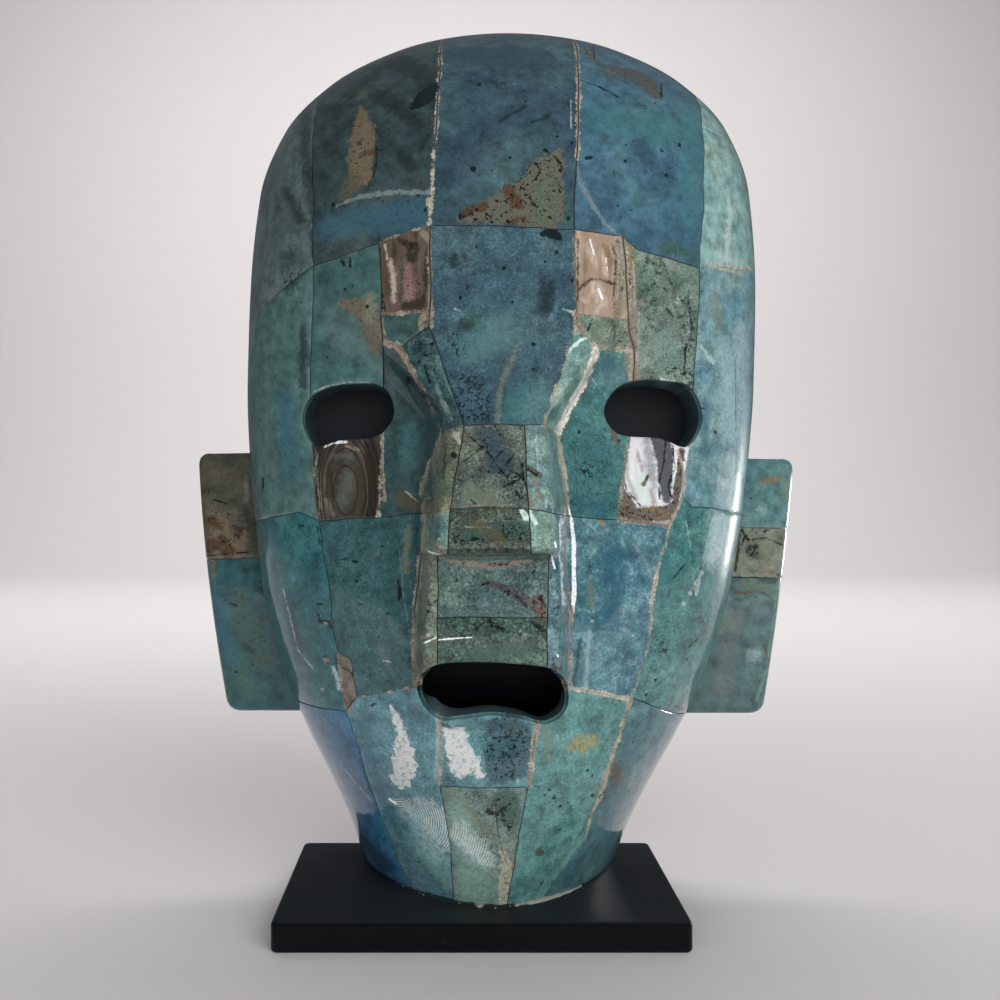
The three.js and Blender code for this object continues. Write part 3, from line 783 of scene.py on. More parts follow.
def surface(tree, colour, relief, relief_height, **sockets):
    """The shader of a material, with its small unevenness in millimetres."""
    normal = add(tree, "Bump", {"Height": relief, "Distance": relief_height * MM})
    inputs = {"Base Color": colour, "Normal": normal, "Coat Normal": normal}
    inputs.update({key.replace("_", " "): value for key, value in sockets.items()})
    shader = add(tree, "BsdfPrincipled", inputs)
    add(tree, "OutputMaterial", {"Surface": shader})


def lay_over(tree, colour, over, value, low, high, strength=1.0, curve="LINEAR"):
    """Lays one colour over another as a value goes from low to high."""
    share = add(tree, "MapRange", {0: value, 1: low, 2: high, 4: strength}, interpolation_type=curve)
    return add(tree, "Mix", {0: share, 6: colour, 7: over}, 2, data_type="RGBA")


def shade(tree, colour, value, low, high, dark, bright):
    """Darkens a colour where a value is low and brightens it where the value is high."""
    level = add(tree, "MapRange", {0: value, 1: low, 2: high, 3: dark, 4: bright})
    return add(tree, "Mix", {0: 1.0, 6: colour, 7: level}, 2, data_type="RGBA", blend_type="MULTIPLY")


def stroke_group():
    """A node group that masks a straight ragged stroke across the front view."""
    group = bpy.data.node_groups.new("ragged_stroke", "ShaderNodeTree")
    for name, kind in (("Place", "Vector"), ("Start", "Vector"), ("Span", "Vector"), ("Start Width", "Float"),
                       ("End Width", "Float"), ("Wander", "Float"), ("Edge", "Float")):
        group.interface.new_socket(name, in_out="INPUT", socket_type="NodeSocket" + kind)
    group.interface.new_socket("Mask", in_out="OUTPUT", socket_type="NodeSocketFloat")
    group.nodes.new("NodeGroupInput")
    given = group.nodes[0].outputs
    away = add(group, "VectorMath", {0: given["Place"], 1: given["Start"]}, operation="SUBTRACT")
    away = add(group, "VectorMath", {0: away, 1: (1, 0, 1)}, operation="MULTIPLY")
    ahead = add(group, "VectorMath", {0: away, 1: given["Span"]}, "Value", operation="DOT_PRODUCT")
    whole = add(group, "VectorMath", {0: given["Span"], 1: given["Span"]}, "Value", operation="DOT_PRODUCT")
    share = add(group, "Math", {0: ahead, 1: whole}, operation="DIVIDE", use_clamp=True)
    along = add(group, "VectorMath", {0: given["Span"], "Scale": share}, operation="SCALE")
    aside = add(group, "VectorMath", {0: away, 1: along}, operation="SUBTRACT")
    reach = add(group, "VectorMath", {0: aside}, "Value", operation="LENGTH")
    width = add(group, "Mix", {0: share, 2: given["Start Width"], 3: given["End Width"]})
    reach = add(group, "Math", {0: width, 1: -0.5, 2: reach}, operation="MULTIPLY_ADD")
    reach = add(group, "Math", {0: reach, 1: given["Wander"]}, operation="ADD")
    far = add(group, "Math", {0: given["Edge"], 1: -1.0}, operation="MULTIPLY")
    mask = add(group, "MapRange", {0: reach, 1: given["Edge"], 2: far}, interpolation_type="SMOOTHSTEP")
    group.nodes.new("NodeGroupOutput")
    group.links.new(mask, group.nodes[-1].inputs[0])
    return group


STROKE = stroke_group()

# Tones of the marks in the stones: main colour, fleck colour, share of flecks, how far the edge wanders
# and how soft it is in mm, and how strong the mark is
# Some tones paint light. The glint tone is painted highlights on slot rims, ridges, the nose and the shells.
# The mint marks are pale stone with painted highlights over it, on the right nose root, the right eye's rim
# and the nose tip. The mist is pale stone, and on the right temple, the right cheek's side and the chin it is
# also a painted sheen and glare. The frost is pale scratches and wisps, and over the left eye it is a painted
# highlight along the slot's rim. The pearl is the shells' own nacre, and on the right brow shell it is also
# painted highlights. The film and print tones are greasy finger marks with a painted glare over them.
TONES = {name: (*colours, *looks) for (name, *colours), looks in read_rows("""
ink #0d1314 #0d1314 0 0.5 0.14 0.92
shade #182323 #0f1617 0.35 1.8 1.2 0.7
slate #2b424d #20323a 0.3 1.2 0.7 0.7
haze #5e6664 #4d5654 0.3 1.2 1.2 0.5
ochre #665b4a #362f23 0.35 1.6 0.6 0.9
olive #4c4a3b #363b30 0.3 0.9 0.8 0.8
rust #4c3927 #18120f 0.5 1 0.3 0.9
amber #806a4c #524635 0.35 0.7 0.4 0.8
straw #6d7664 #545e55 0.25 1.3 1 0.6
citron #858a63 #6b7558 0.2 0.8 0.8 0.85
buff #5b5a4f #18130e 0.55 1.5 0.3 0.94
clay #4c4b45 #232221 0.45 1 0.3 0.88
tan #7f7568 #4f473d 0.35 0.6 0.16 0.94
cream #9f9d8d #696357 0.45 0.8 0.2 0.88
umber #2b211b #53443a 0.35 0.6 0.3 0.88
pearl #bda99a #d0bfb1 0.3 0.7 0.8 0.75
pink #977278 #816264 0.3 0.8 1.1 0.65
blush #816e6a #675957 0.3 0.7 0.5 0.65
blue #325a6b #2a4d5b 0.3 1.8 1.8 0.6
deep #215062 #1c4252 0.3 1.6 1.3 0.6
teal #3c6a6d #335e5e 0.3 1.8 1.6 0.55
green #3e6756 #305547 0.3 1.6 1.6 0.55
glint #f1f3f5 #dde4e8 0.2 0.22 0.12 0.95
mint #c6dcd3 #a6c2b8 0.3 0.35 0.18 0.9
gunmetal #48434d #2d2a31 0.35 0.4 0.3 0.95
bark #68584f #231814 0.75 0.35 0.25 0.95
walnut #2b1d19 #170e0c 0.35 0.5 0.9 0.88
jade #6a867b #597469 0.3 1.4 1 0.65
sage #555e4f #20241d 0.5 1.3 0.5 0.88
moss #3a554d #212e2a 0.4 1.3 0.6 0.75
mist #95afb2 #829ea2 0.3 1.6 1.6 0.55
frost #a6b8b8 #8ba0a1 0.35 0.6 0.2 0.7
vein #768586 #566666 0.45 0.8 0.3 0.62
dapple #10181a #10181a 0 1.2 0.8 0.9
thicket #0e1415 #0e1415 0 1.6 1 0.85
film #dcdbd8 #dcdbd8 0 1.3 0.3 0.95
print #d9e2dc #d9e2dc 0 1.6 0.9 0.72
mauve #958e99 #7a7480 0.25 1 2.4 0.85
mint_wash #7ba197 #6a8f87 0.2 1.6 2.2 0.55
jade_wash #587c79 #4e706d 0.2 1.8 2.4 0.5
""")}


def marks_by_stone(rows):
    """The marks that follow each stone's name: their tone and the points that they run through."""
    marks = {}
    for (word, *_), numbers in rows:
        if numbers:
            listed.append((word, *zip(numbers[::3], numbers[1::3], numbers[2::3])))
        else:
            listed = marks[word] = []
    return marks


# Marks in each stone, one on a line: a tone, then x, z and width in mm at each point. By their tone some are
# painted highlights, sheen and glare.
MARKS = marks_by_stone(read_rows("""
forehead_left_side
shade -42.1 198.1 2.5, -39.5 175.3 2.7, -36.5 162.7 3.1, -35.9 150.9 3.5
shade -44.3 166.8 1.8, -40.3 159.2 2.7
haze -48 165.6 1.4, -48.6 153.7 1.8
shade -34.6 190 2.3, -36.4 182.7 1.8
forehead_left
blue -33.1 156.4 5.7, -12.1 157.8 7.7
shade -20.8 198.2 2.8, -29.5 188.6 3.6
shade -18.7 172 1.3, -14.9 168.3 3
ochre -26.6 183.7 1.3, -25.9 177.1 5.3, -26.2 167.3 5.5
olive -28 166.2 3.9, -29.7 162.6 2.6
rust -26.9 174.5 0.9
rust -26 171.6 0.9, -22.8 172.2 1.1
ink -22.9 173.1 0.3, -22.6 170.1 0.4, -23.5 166.2 0.3
ink -14.7 182.5 1.8, -12.5 184.7 4, -10.3 187.6 2.7
vein -32 160.8 0.4, -26.4 162.2 0.9, -20.8 162.9 1.1, -9.3 162.2 0.9
cream -11 160.6 1.9
ink -32.5 161.1 1.1
ink -12.1 158.6 0.9
ink -13.6 161.9 0.6
shade -13.2 171.7 1.3, -11.5 174.9 1.1
shade -19.6 198.7 6.1, -12.4 191.6 5.8, -10.7 184.1 4
shade -22.4 186.7 4.5, -16.6 181.3 3.9, -13.3 177.7 3
forehead_centre
slate -5.6 197.9 6.9, 13.6 195.7 8.1
buff 16.9 171.4 1.3, 13.9 166.6 7.3, 12.1 159.5 12.4
buff 16 168 3.9, 5.1 158.9 7.3, -4 157 2.1
sage 14.3 163.2 5.2, 13.6 158 5.1
buff 13.6 169.2 2.1, 16 166.7 2.6
rust 5.7 163 2.4, 7.8 159.7 2.6
rust 6.6 155.9 1.5, 8.7 156.7 0.9
ink -4.2 157.2 1.5, -2.5 158.3 1.1
rust -3.3 158.1 1.5, 0.6 159.3 1.7
moss 18.4 161.1 1.7, 18.4 155.5 1.9
ink 11.3 168.6 0.4, 12.6 167.1 0.5, 11.7 165.1 0.4
ink 13.6 171.4 0.4, 16 169.7 0.5, 17.5 167.1 0.4
ink 16 164.5 0.4, 16.9 162.4 0.5
ink 10.4 160.6 0.4, 11.9 159.1 0.5
ink 14.7 165.8 0.4
ink 3.3 160.4 0.6
ink -1 158.5 0.6
shade 4.1 178.2 0.4, 9.8 182 0.9
shade 11 178 0.5, 14.5 179.3 0.5
frost 19.7 183.8 0.2, 19.4 176.6 0.19
ink 15.3 198 0.8
ink -1.8 167.3 1
ink -0.4 188 0.7
ink 16.3 174.4 0.6
ink 5.1 171.4 0.6
ink 6.1 169.6 0.6
ink 18.6 156.8 0.8
ink 2.1 167 0.5
ink -7.6 163.3 0.5
ink -4.8 169.3 0.4
forehead_right
teal 25.9 178.9 6.5, 39.5 177.7 8.8
teal 47.9 185.1 4.6, 46 157.8 4.4
buff 25.3 201 2.8, 26.2 197.3 1.8
ink 27.1 203.7 0.4, 26.3 197.7 0.4
clay 28.8 195.1 1.8, 36.5 192.4 5.5, 39.5 188.3 4.1
ink 41.7 191.7 0.6, 40.6 186.1 0.5
olive 27.1 193.4 1.1, 31.1 191.2 1.4
ink 22.1 189.6 0.22, 26.5 187.8 0.4, 30.4 185.4 0.4
slate 34.6 173.9 3.5, 36.3 170.2 3.9
vein 20.5 168.3 0.4, 21.4 164 1.3, 23.8 160.1 0.9, 26.4 156.1 0.7, 30.4 152.4 0.8
ink 31.4 173.2 0.5
ink 31.1 169.6 0.6
ink 40.4 167.3 0.6
ink 29.5 159.9 0.6
ink 22.7 169.8 0.6, 23.6 169.9 0.6
ink 44 174.6 0.9
ink 39.6 172.6 0.6
moss 39.4 151.5 2.6, 46.4 150.3 2.6
forehead_right_side
frost 50.5 181.2 0.4, 56.3 180.6 0.4
frost 56.2 165.1 0.7, 56.6 160.8 1.4, 55.2 149.7 0.9
straw 50.6 174.2 1.1, 52.4 168.4 1.3
blush 66.6 185.9 2.3, 62 170 1.9
cream 49.4 149.1 0.4, 54.1 148.4 0.6, 60 148.6 1.1
temple_left
shade -39.7 146.9 2.7, -43.2 143.8 2
ochre -36.3 146.5 2, -35.9 144.8 1.5
shade -39.7 135.4 1.3, -39.9 122.1 1.8
ink -42.3 103.5 0.8
ink -50.4 101.3 0.6, -50.5 98.1 0.6
haze -50.4 157.9 1.6, -49.7 140 1.6
blue -44.3 119 5, -43.1 103 5.4
temple_right
cream 49.4 148.4 0.4, 54.1 147.9 0.6, 60 147.9 1.1
frost 49.5 130.7 0.6, 52.4 127.4 1
mist 56.3 129.9 5, 58.1 112.3 6
deep 50.7 117.6 2.3, 50.7 106.4 2.7
shade 58.7 127.9 0.3, 59.3 112.4 0.23
ink 53.3 111.6 0.7
ink 50.2 116.9 0.7
mist 60.5 135.4 3.7, 63.2 103.3 3.3
straw 52.5 140.9 3.1, 53.6 135.6 2.3
brow_left
ochre -30 139.3 2, -25 138 4.4, -23.9 132.8 4, -23.2 129 1.6
straw -23.7 139.8 2.6, -24.4 136 2.2
ink -30.6 148.4 0.4, -29.9 147.7 0.7
ink -28.5 148.9 0.4, -28.5 147.2 0.7
ink -24.8 138.2 0.6
ink -27.9 142.9 0.4
ink -34.2 127.9 0.5
straw -29 150.7 2.2, -25.2 152 1.7
frost -37.5 120.4 0.18, -33.5 121.9 0.2, -29 122.4 0.2, -24.6 122.3 0.18
brow_centre
teal 8.5 120 2.1, 8 117 6.3, 5.3 114.1 3.4
slate 16.2 142.4 1.5, 13.7 140.1 3.4, 12.4 137.3 2.8
slate -3.1 133.9 2.4
ink 12.8 153.3 0.9, 14.9 153.6 2.6, 16.9 152.5 1.1
ink 16 149.5 0.8
ink 4.8 146 0.8
ink 13.6 147.3 0.6
ink 19.4 143.3 0.9
ink -1 150.5 0.6
ink -3.1 141.7 0.7
ink -6.1 129.6 0.9
ink 11.1 129.7 0.8
ink 11 124.2 0.8
ink 6.6 138.8 0.6
ink 11.6 122.2 0.6
ink -4.6 139.6 0.6
ink -6.7 148.2 0.4
frost -5.7 137.3 0.4, -4.4 136.9 0.3
frost 17.6 137.3 0.4, 20.2 136.5 0.6
straw 7.8 129.7 0.4, 6.5 126.2 1.3, 3.9 120 1.3, 3.1 112.2 1
moss -2.4 134.5 3.9
jade_wash 4 132.8 8.6, -2.5 128.5 6.4
jade_wash 12.4 119.6 5.1, 10.5 114.8 5.1
dapple -2.9 120.1 6.8, -1.3 114.8 6.7
dapple -6.3 131.8 2.6, -4.2 128.5 3
thicket -2.5 121.8 7.2, -0.8 115.2 7.2
shade 14.3 142.4 2.4, 13.9 137.5 2.8
shade -3.1 133.7 2.4
shade -5.7 147.3 3.4
brow_right
jade 40.6 131.2 5.3, 41.7 127.4 5.3
tan 31.5 149.8 2.6, 32.4 139.5 2.8, 33.5 131.4 2, 34.9 123 1.6
amber 31.5 150.7 2.2, 32.5 147.2 1.9
cream 30.3 147.6 0.26, 30.7 139.1 0.26
cream 32.8 147.6 0.26, 33.3 137.4 0.26
cream 34.5 137.1 0.3, 34.8 130.5 0.3
ink 31.9 145.9 0.26, 31.8 139.5 0.26
blush 34.9 139 1.3
ink 39.6 148 0.26, 41.8 143.5 0.3
ink 45.8 140.4 0.4, 47.1 134.1 0.8
ink 45.8 130.8 0.6, 45.5 124.4 0.4
ink 40.9 138.2 0.5, 42.4 136.8 0.5
dapple 44.8 140.3 4.4, 47.3 129.7 3.6
dapple 41.8 125.2 2.7, 46.9 124.4 1.8
ink 39.9 142.5 0.4, 40.9 141.7 0.4
mint 40.2 123.2 0.5, 42.7 122.5 0.7, 46.5 121.3 0.5
thicket 39 142 7.4, 43.3 129.6 6.7
brow_chip_left
frost -18.3 130.8 0.3, -17 128.9 0.3
tan -12.4 136.4 1.3, -13.2 133.4 0.9
tan -21.5 135.3 0.7, -21.2 132.5 0.7
brow_chip_right
dapple 28.3 133.9 1.7, 30.2 131.5 2.2
ink 23.5 134.3 0.3, 23.1 133 0.3
tan 20.2 134.6 1.9, 22.2 131.7 0.6
tan 33.2 131.4 1.1, 32.6 129.4 1.3
nose_root_left
dapple -13.2 129.8 3, -11.5 127.4 2.6
ink -15.2 130.7 0.6, -14.8 131.3 0.4
ink -10.9 129.9 0.6, -10.4 130.1 0.4
ink -11.9 127.6 0.6
ink -13.5 126.1 0.6
ink -12.1 125 0.4, -11.1 121.7 0.6
ink -11 115.7 0.8, -10.5 114 0.7
ink -9.6 111.2 0.7
jade -9.7 120.9 0.6, -7.6 115.2 0.9
vein -10.6 123.8 0.17, -6.3 113.3 0.17
vein -8.9 124.6 0.15, -6.3 118.4 0.15
nose_root_right
dapple 13.6 118.3 1.5, 14 116.1 1.5
ink 13.4 118.3 0.4, 14.7 117.9 0.4
frost 11.2 114.8 0.21, 14.1 119.2 0.21
frost 9.7 114.8 0.21, 12.3 117 0.17
tan 8.2 113.3 1.1, 10.1 112.2 1
moss 16.6 116.4 0.8, 15.7 113.6 0.8
vein 15 120.8 0.21, 13.2 112 0.21
mint 24 131.9 0.4, 21.3 130.6 0.7, 18.2 127.9 0.7, 14.8 123.2 0.6, 12.8 120.5 0.3
inner_eye_left
tan -21.2 131.7 0.7, -18.1 129 1.1, -15.3 125.3 1.5
amber -18.1 128.6 0.7, -15.9 126 0.9
ink -15.9 122.9 0.7, -15.9 122.1 0.8
ink -17.6 105.8 0.7
ink -18.6 107.8 0.4
olive -17.3 96.2 3.5, -13.8 94.7 2.6
tan -22.1 109.6 0.4, -21.1 96.2 0.7
cream -16.7 98.2 0.2, -13.6 95.8 0.2
shade -21.7 123 0.4
teal -15.7 111.8 3.6, -16.5 104.7 3.1
inner_eye_right
teal 24.7 107.8 7.5, 23.2 98.9 6.6
deep 28.4 126.6 3.1, 28.4 123.4 2.7
deep 21.3 95.8 2.6, 26.2 94.5 3.1
tan 32.7 128.2 1.3, 33.5 123.4 1.6
buff 29.4 112.3 1.6, 30.6 108.7 1.6
ink 21.8 111.5 0.8
ink 28.9 110.5 0.6
frost 24 124 0.15, 27.1 120.3 0.16
dapple 23.7 102.9 4.4
tan 22.4 127.1 1.3, 24.9 127 0.9
glint 18.6 96.3 0.25, 19.7 92.6 0.5
thicket 24.3 107.3 8.9, 23.2 98.4 6.6
nose_bridge_left
cream -5.3 109.9 1.7, -4.8 108.4 1
ink -6.1 105.9 0.6, -5.7 105.1 0.6
shade -7.6 107.9 0.4, -8 100.9 0.4
shade -11.2 104.6 0.9, -10.7 96.2 0.9
blue -11.6 102.9 1.3, -11.1 98.4 1.3
tan -6.3 96.3 1.2, -5.5 94.9 1.2
nose_bridge_centre
slate 1.2 109.6 4.2, 4 104.1 5
straw -2.6 98.3 3.3, 0.2 96.7 4.1
thicket -2.5 108.8 3.3, 2 105 4.1, 5.2 100.8 4.1, 8 97.9 4.1
thicket 0.8 110.1 2.5, 3.7 110.9 1.7
ink -3.8 110.7 0.17, 1 106.3 0.29, 5 100.8 0.29
ink -4 104.2 0.17, 0.1 107.3 0.21
ink 0.8 107.5 0.21, 2 105 0.29
ink 3.2 101.6 0.25, 6.4 105.4 0.29
ink 2.5 112.2 0.17, 4.1 109.2 0.17
ink 4.7 107.1 0.21, 2 104.1 0.21
ink 8.2 103.7 0.4, 8.3 101.6 0.5, 9.6 95.7 0.24
ink 4.1 98.9 0.25, 7.5 100.6 0.4
ink 6.1 102.5 0.29, 8.5 100.4 0.4
dapple 6 100.8 3.3, 7.6 97.5 2.9
dapple -0.1 107.9 2.5
ink 1.3 102.1 0.4
ink 0.4 108.8 0.4
ink -2.6 96.3 0.2, -1.4 95.5 0.16
tan -4.3 94.9 0.24, 3.4 95.5 0.24
nose_bridge_right
clay 9.2 102.9 1, 11.8 101.4 1.2
ink 9.4 102.5 0.4, 11.2 101.2 0.5
tan 8.8 97.9 1, 9.7 95.5 1.2
frost 13.5 97.7 0.3, 12.5 93.9 0.28
tan 10.6 100.8 0.8, 12 96.3 0.6
frost 11.2 108.8 0.21, 11.5 102.5 0.21
nose_tip_centre
moss -3.5 88.7 4, 6.6 90.3 5.2
thicket -5.1 90.3 3.2, -0.7 88.3 5.2, 6.5 89.5 5.2
dapple -4.7 87.9 3.2, 0.9 87.1 4.8, 7.3 88.3 4.4
dapple 4.4 91.3 2.4, 6.6 90.7 2.4
ink -4.3 88.1 0.4, -1.1 88.5 0.5
ink 1.3 88.1 0.4, 4.7 88.9 0.5
ink 4.6 92.5 0.4
frost -3.5 90.9 0.2, 1.7 90.7 0.2
haze -2.7 93.9 0.6, -2.7 91.5 0.6
tan -6.1 95.1 0.4, 1.4 95.5 0.3
blush 0.1 84.1 0.6, 3.6 83.9 0.6
glint -9.2 85.2 0.5, -6.7 84.3 0.6, -4.2 83.5 0.5, -2.6 83.4 0.25
mint 7.5 94.7 0.6, 8.6 92.7 1.2, 9.4 92.3 0.8
olive -2.7 92.3 2, 3.3 88.3 2.4
nose_tip_left
blue -8.8 92.3 2.5, -8.6 89.9 2.3
ink -7.9 91.6 0.5
tan -9.2 86.7 1.5, -7.7 86.4 1
glint -11.5 85.8 0.26, -9.2 85.2 0.5, -6.7 84.3 0.6, -4.2 83.5 0.5, -2.6 83.4 0.25
nose_tip_right
tan 9.3 95.7 0.8, 11.1 94.3 0.6
tan 9.7 84.4 0.6, 11.8 83.7 0.6
ink 8.8 84.9 0.4
mint 9.3 93.9 1, 10.6 91.5 0.8
lip_centre_upper
tan -8.8 84.7 0.6, -5.7 83.5 0.9, -0.5 82.7 1.1, 4.6 82.9 0.9, 9.8 83.9 0.5
bark 1.3 82.9 0.6, 5.3 83.1 0.8
clay 0.5 79.4 0.8, 4.6 78.1 1.9, 7.7 76.1 2.1, 11.4 74.4 2.5
gunmetal 1.5 78.9 0.8, 4.6 78.1 1.2, 7.7 75.6 1
bark 11.4 75.6 2.7, 12.5 71.9 2.1
ink 6.9 76.5 0.4, 9 74.4 0.6
ink -0.3 78.7 0.4, 1.1 79.1 0.3
ink 5.3 77.5 0.5
ink 12.1 75.6 0.6, 12.9 74.4 0.4
ink -5.5 79.6 0.5
slate -7.3 77.3 0.29, -4.2 77.7 0.4
ink 6.9 82 0.4
ink 9 80 0.4
dapple 10.6 82.2 2.9
dapple 5.3 77.7 2.9
thicket 11.4 74 3.3
lip_centre_lower
thicket -6.7 69.9 3.7, 1.5 69.9 3.3, 7.7 69.5 2.1
dapple -1.4 69.9 1.6, 1.9 71.1 1.6, 5.2 70.1 1.6
ink -0.9 70.3 0.4, 0.3 71.1 0.4
ink 1.9 70.3 0.4, 4.2 69.7 0.5
ink 10 71.1 0.8, 12 69.9 1, 12.9 69.3 0.8
clay 11.2 71.3 1.2, 12.5 71.1 1
ink 4.4 64.8 0.6
dapple -7.8 70.7 1.7, -5.7 69.9 1.2
glint -11 67.3 0.19, -2.2 68 0.19
moss -2.6 64.3 2.9, 9.8 65.8 3.3
lip_left
tan -11.7 83.2 0.9, -12.4 74.2 0.9
ink -11 74.5 0.26, -9.2 75.8 0.25
ink -11.2 73.2 0.3
cream -13 67.3 0.4, -11 68.4 0.4
jade -11.7 65.3 1.7
glint -11.5 85.8 0.26, -9.2 85.2 0.5, -6.7 84.3 0.6
glint -12.4 66.5 0.17, -9.6 67.9 0.19
lip_right
ink 14.1 80.2 0.4
ink 15.6 74 0.5
ink 16 65.8 0.4, 16.6 65.5 0.29
rust 14.6 62.2 0.8, 16.1 61.1 0.8
dapple 15.2 77.7 1.9
dapple 15.2 63.3 1.9
glint 14 85.4 0.4, 15 82.2 0.4
cheek_left
ink -30.7 83.1 0.4, -29.6 83.3 0.4
ink -28.2 82.9 0.4, -27.3 82.7 0.4
ink -27.1 78.6 0.4
ink -25.3 78.2 0.4
ink -26.6 73.5 0.5, -25.7 73.6 0.3
ink -20.4 71.7 0.4
ink -21.6 86.2 0.5
ink -18 78.9 0.3, -17.6 76.3 1, -17.8 74.6 0.5
haze -22 64.1 1.3, -20.2 61.1 1.3
ink -24.2 58 0.4
frost -21.1 61.3 0.26, -19.3 61.1 0.22
ink -29.3 80.9 0.3
vein -17.9 86.4 0.13, -16.7 74.6 0.17, -15 64.9 0.17
ink -22.2 66.3 0.3
blush -22.7 84.7 0.7
straw -15.9 89.7 1.7, -16.5 81 1.3
cheek_chip_left
ink -30.4 59.1 0.22, -28.3 58.1 0.26, -26.3 53.6 0.3
olive -29.7 59.2 0.7, -28.3 58.8 0.4
blush -28.8 55.6 1.3, -28.4 53.3 1.3
cheek_left_side
slate -44 73.9 1.8, -42.2 64.2 3.7, -41.2 59.1 2.3
blue -52.3 60.4 3.6, -48.9 45.1 5.1
ink -39.3 94.2 0.5, -41.3 93.7 0.27
ink -39.8 90.4 0.4
ink -49.8 74.5 0.7
ink -36.6 73.1 0.5, -35.1 73.2 0.6
ink -36.1 70.9 0.4, -35.7 69.3 0.8, -33.5 69.3 0.8, -33.1 67.9 0.7
tan -34.5 69 0.7
ink -32.3 71.3 0.5
tan -34.4 60.3 1.3
ink -34.7 61.4 0.4
ink -34 59.9 0.4
frost -45 76.1 0.18, -42.9 67.7 0.18, -41.6 61.9 0.18, -37.5 57.8 0.23
straw -37.9 98 1.3, -36.9 95.1 1.6
frost -32.8 58.9 0.9, -31.2 54.4 1.1
frost -35.7 53.3 0.7
tan -31.6 59.9 0.4, -30.7 56.3 0.7
shade -36.2 90 0.7, -35.6 86.2 0.4
green -51.4 82 3.8, -54.8 60.4 4.1
straw -55.8 70.6 1.5, -54.8 55.3 1.5
cheek_right
vein 35.2 89.7 0.7, 37.9 88.8 0.4, 39.5 87.2 0.7
vein 38.2 84.8 0.4
vein 32.6 87.9 0.26, 35.9 83.1 0.6, 37.4 78.7 0.7, 38.2 73.5 0.4
straw 23.6 78.5 1.3, 24 73.3 1.3
frost 24 69.9 0.5
mist 23.3 67.7 0.9, 22.6 55.2 1.1
vein 25.3 76.3 0.17, 30.2 75 0.17, 35.8 77 0.26
vein 34.8 62.3 0.18, 29.8 59.7 0.17, 27.1 54.1 0.17
vein 26.4 68.1 0.17, 29.3 71.9 0.17
shade 21.3 66 0.9, 19.9 55.7 0.6
deep 28.5 83.2 6.5, 27.9 70.2 5.6
tan 26.1 91.9 1.1, 27.4 90.1 0.7
dapple 23.6 81.1 1.7
glint 19.7 92.6 0.6, 20.2 86.6 0.9, 20.1 74.9 0.9, 19 68.4 0.5
cheek_right_side
frost 45.8 91.8 0.2, 47 85.1 0.2
mist 55.4 101.2 4.6, 52.7 82.6 4.1
frost 45 73.3 0.9
frost 46.8 75.5 1.3
frost 48.1 77.4 1
frost 49.6 80 0.9, 48.4 75.1 1.1
blush 47.8 76.5 1.1
thicket 46.3 74.8 3.6, 49.4 79.2 2.7
ink 42.2 78.8 0.3, 45.2 81.8 0.4
ink 41.7 76.4 0.6, 41.2 74.7 0.4
ink 40.6 63 0.7
dapple 40.1 63.5 3.1
ink 47.5 63.2 0.5, 49.4 64.6 0.5
ink 46.9 60.2 0.6
ink 38.7 56.3 0.7
ink 36.6 53.1 0.7
ink 44.8 49 0.4, 54.8 42.8 0.8
ink 47.2 84.4 0.4
teal 39.5 87.4 3.1, 41.3 74.2 3.5
thicket 49.7 70.9 3.2, 51.3 66 2.7
thicket 39.6 63.6 4
dapple 51.1 68.4 3.2
ink 38.8 65.4 0.5
ink 40.1 64.2 0.4
ink 41 65 0.3
ink 39.4 62.7 0.5
ink 41.4 61.6 0.4
ink 37.3 59.2 0.4
ink 50.1 82.3 0.4, 49.1 79.6 0.27
ink 46.7 77.5 0.3, 47.9 74.7 0.3
chin_left_side
frost -31.1 33.7 0.19, -24.6 27.3 0.18
mist -37.7 35.5 0.7, -32.4 23.1 0.7
slate -28.8 14.5 3.4, -21.3 10.4 3.3
chin_left
tan -29.2 51.9 1.3, -28.6 48.2 0.5
ink -22.2 41.1 0.5
ink -23.9 51.3 0.5, -22.9 51.8 0.4
cream -9.3 36 0.6, -6.3 32.7 0.9
ink -13.7 15.2 0.5
shade -6.3 19.8 0.15, -5.4 9.2 0.16
blue -26.3 45.2 4, -19.8 24.1 3.6
mint_wash -13.4 19.5 3.6, -9.4 14.6 4.9, -7.7 11.9 4
film -19.6 51.4 0.7, -18.1 48 2, -17.2 45 2, -16.8 41.4 4.8, -16.6 37.8 5.2, -17.7 35.3 4.4
mist -16.7 27.1 2.7, -12.3 23.6 4.8, -9.4 17.7 4
print -20.2 29.2 0.9, -16 28.7 3.5, -11.6 28.2 6.5, -8.9 25.3 7.4, -7.6 21.6 4.8
glint -20.4 29.4 0.4, -19 28.8 0.5
mist -9.7 54.1 0.6, -9.3 44.7 0.9, -9.8 36 0.6
shade -28.6 48.2 0.22, -25.3 33 0.23, -21.7 20.7 0.23
chin_centre_upper
slate 3.5 47.2 5.5, 6.5 46.8 8.5, 5.6 41.8 11.1, 3.9 38.1 5.5
film -8 46.9 1.1, -5.5 45.4 4.7, -4.6 42.5 5.6, -4.2 39.1 4.3, -1.6 40.1 3.4, -0.8 38.4 2.1
dapple 4.9 49.1 4.2, 7.8 44.7 6.4, 6 40.6 6.4
dapple 2.2 45.1 4.3, 3.9 39.4 5.1
ink 6.9 43.9 0.6
ink 2.8 39.2 0.6
ink 5.8 41.8 0.4
ink 8 46.1 0.4
bark 12 49 0.4, 11.6 44 0.9, 10.7 39.8 0.9, 9.9 36 0.5
cream 11 47.6 0.26, 10.5 40.4 0.26
chin_centre_lower
mint_wash -5.5 31.9 2.6, -4.2 25 6, -2.4 17.9 7.4, -1.9 10.4 8.8
moss 5 32.4 5.5, 6.5 27.7 4.3
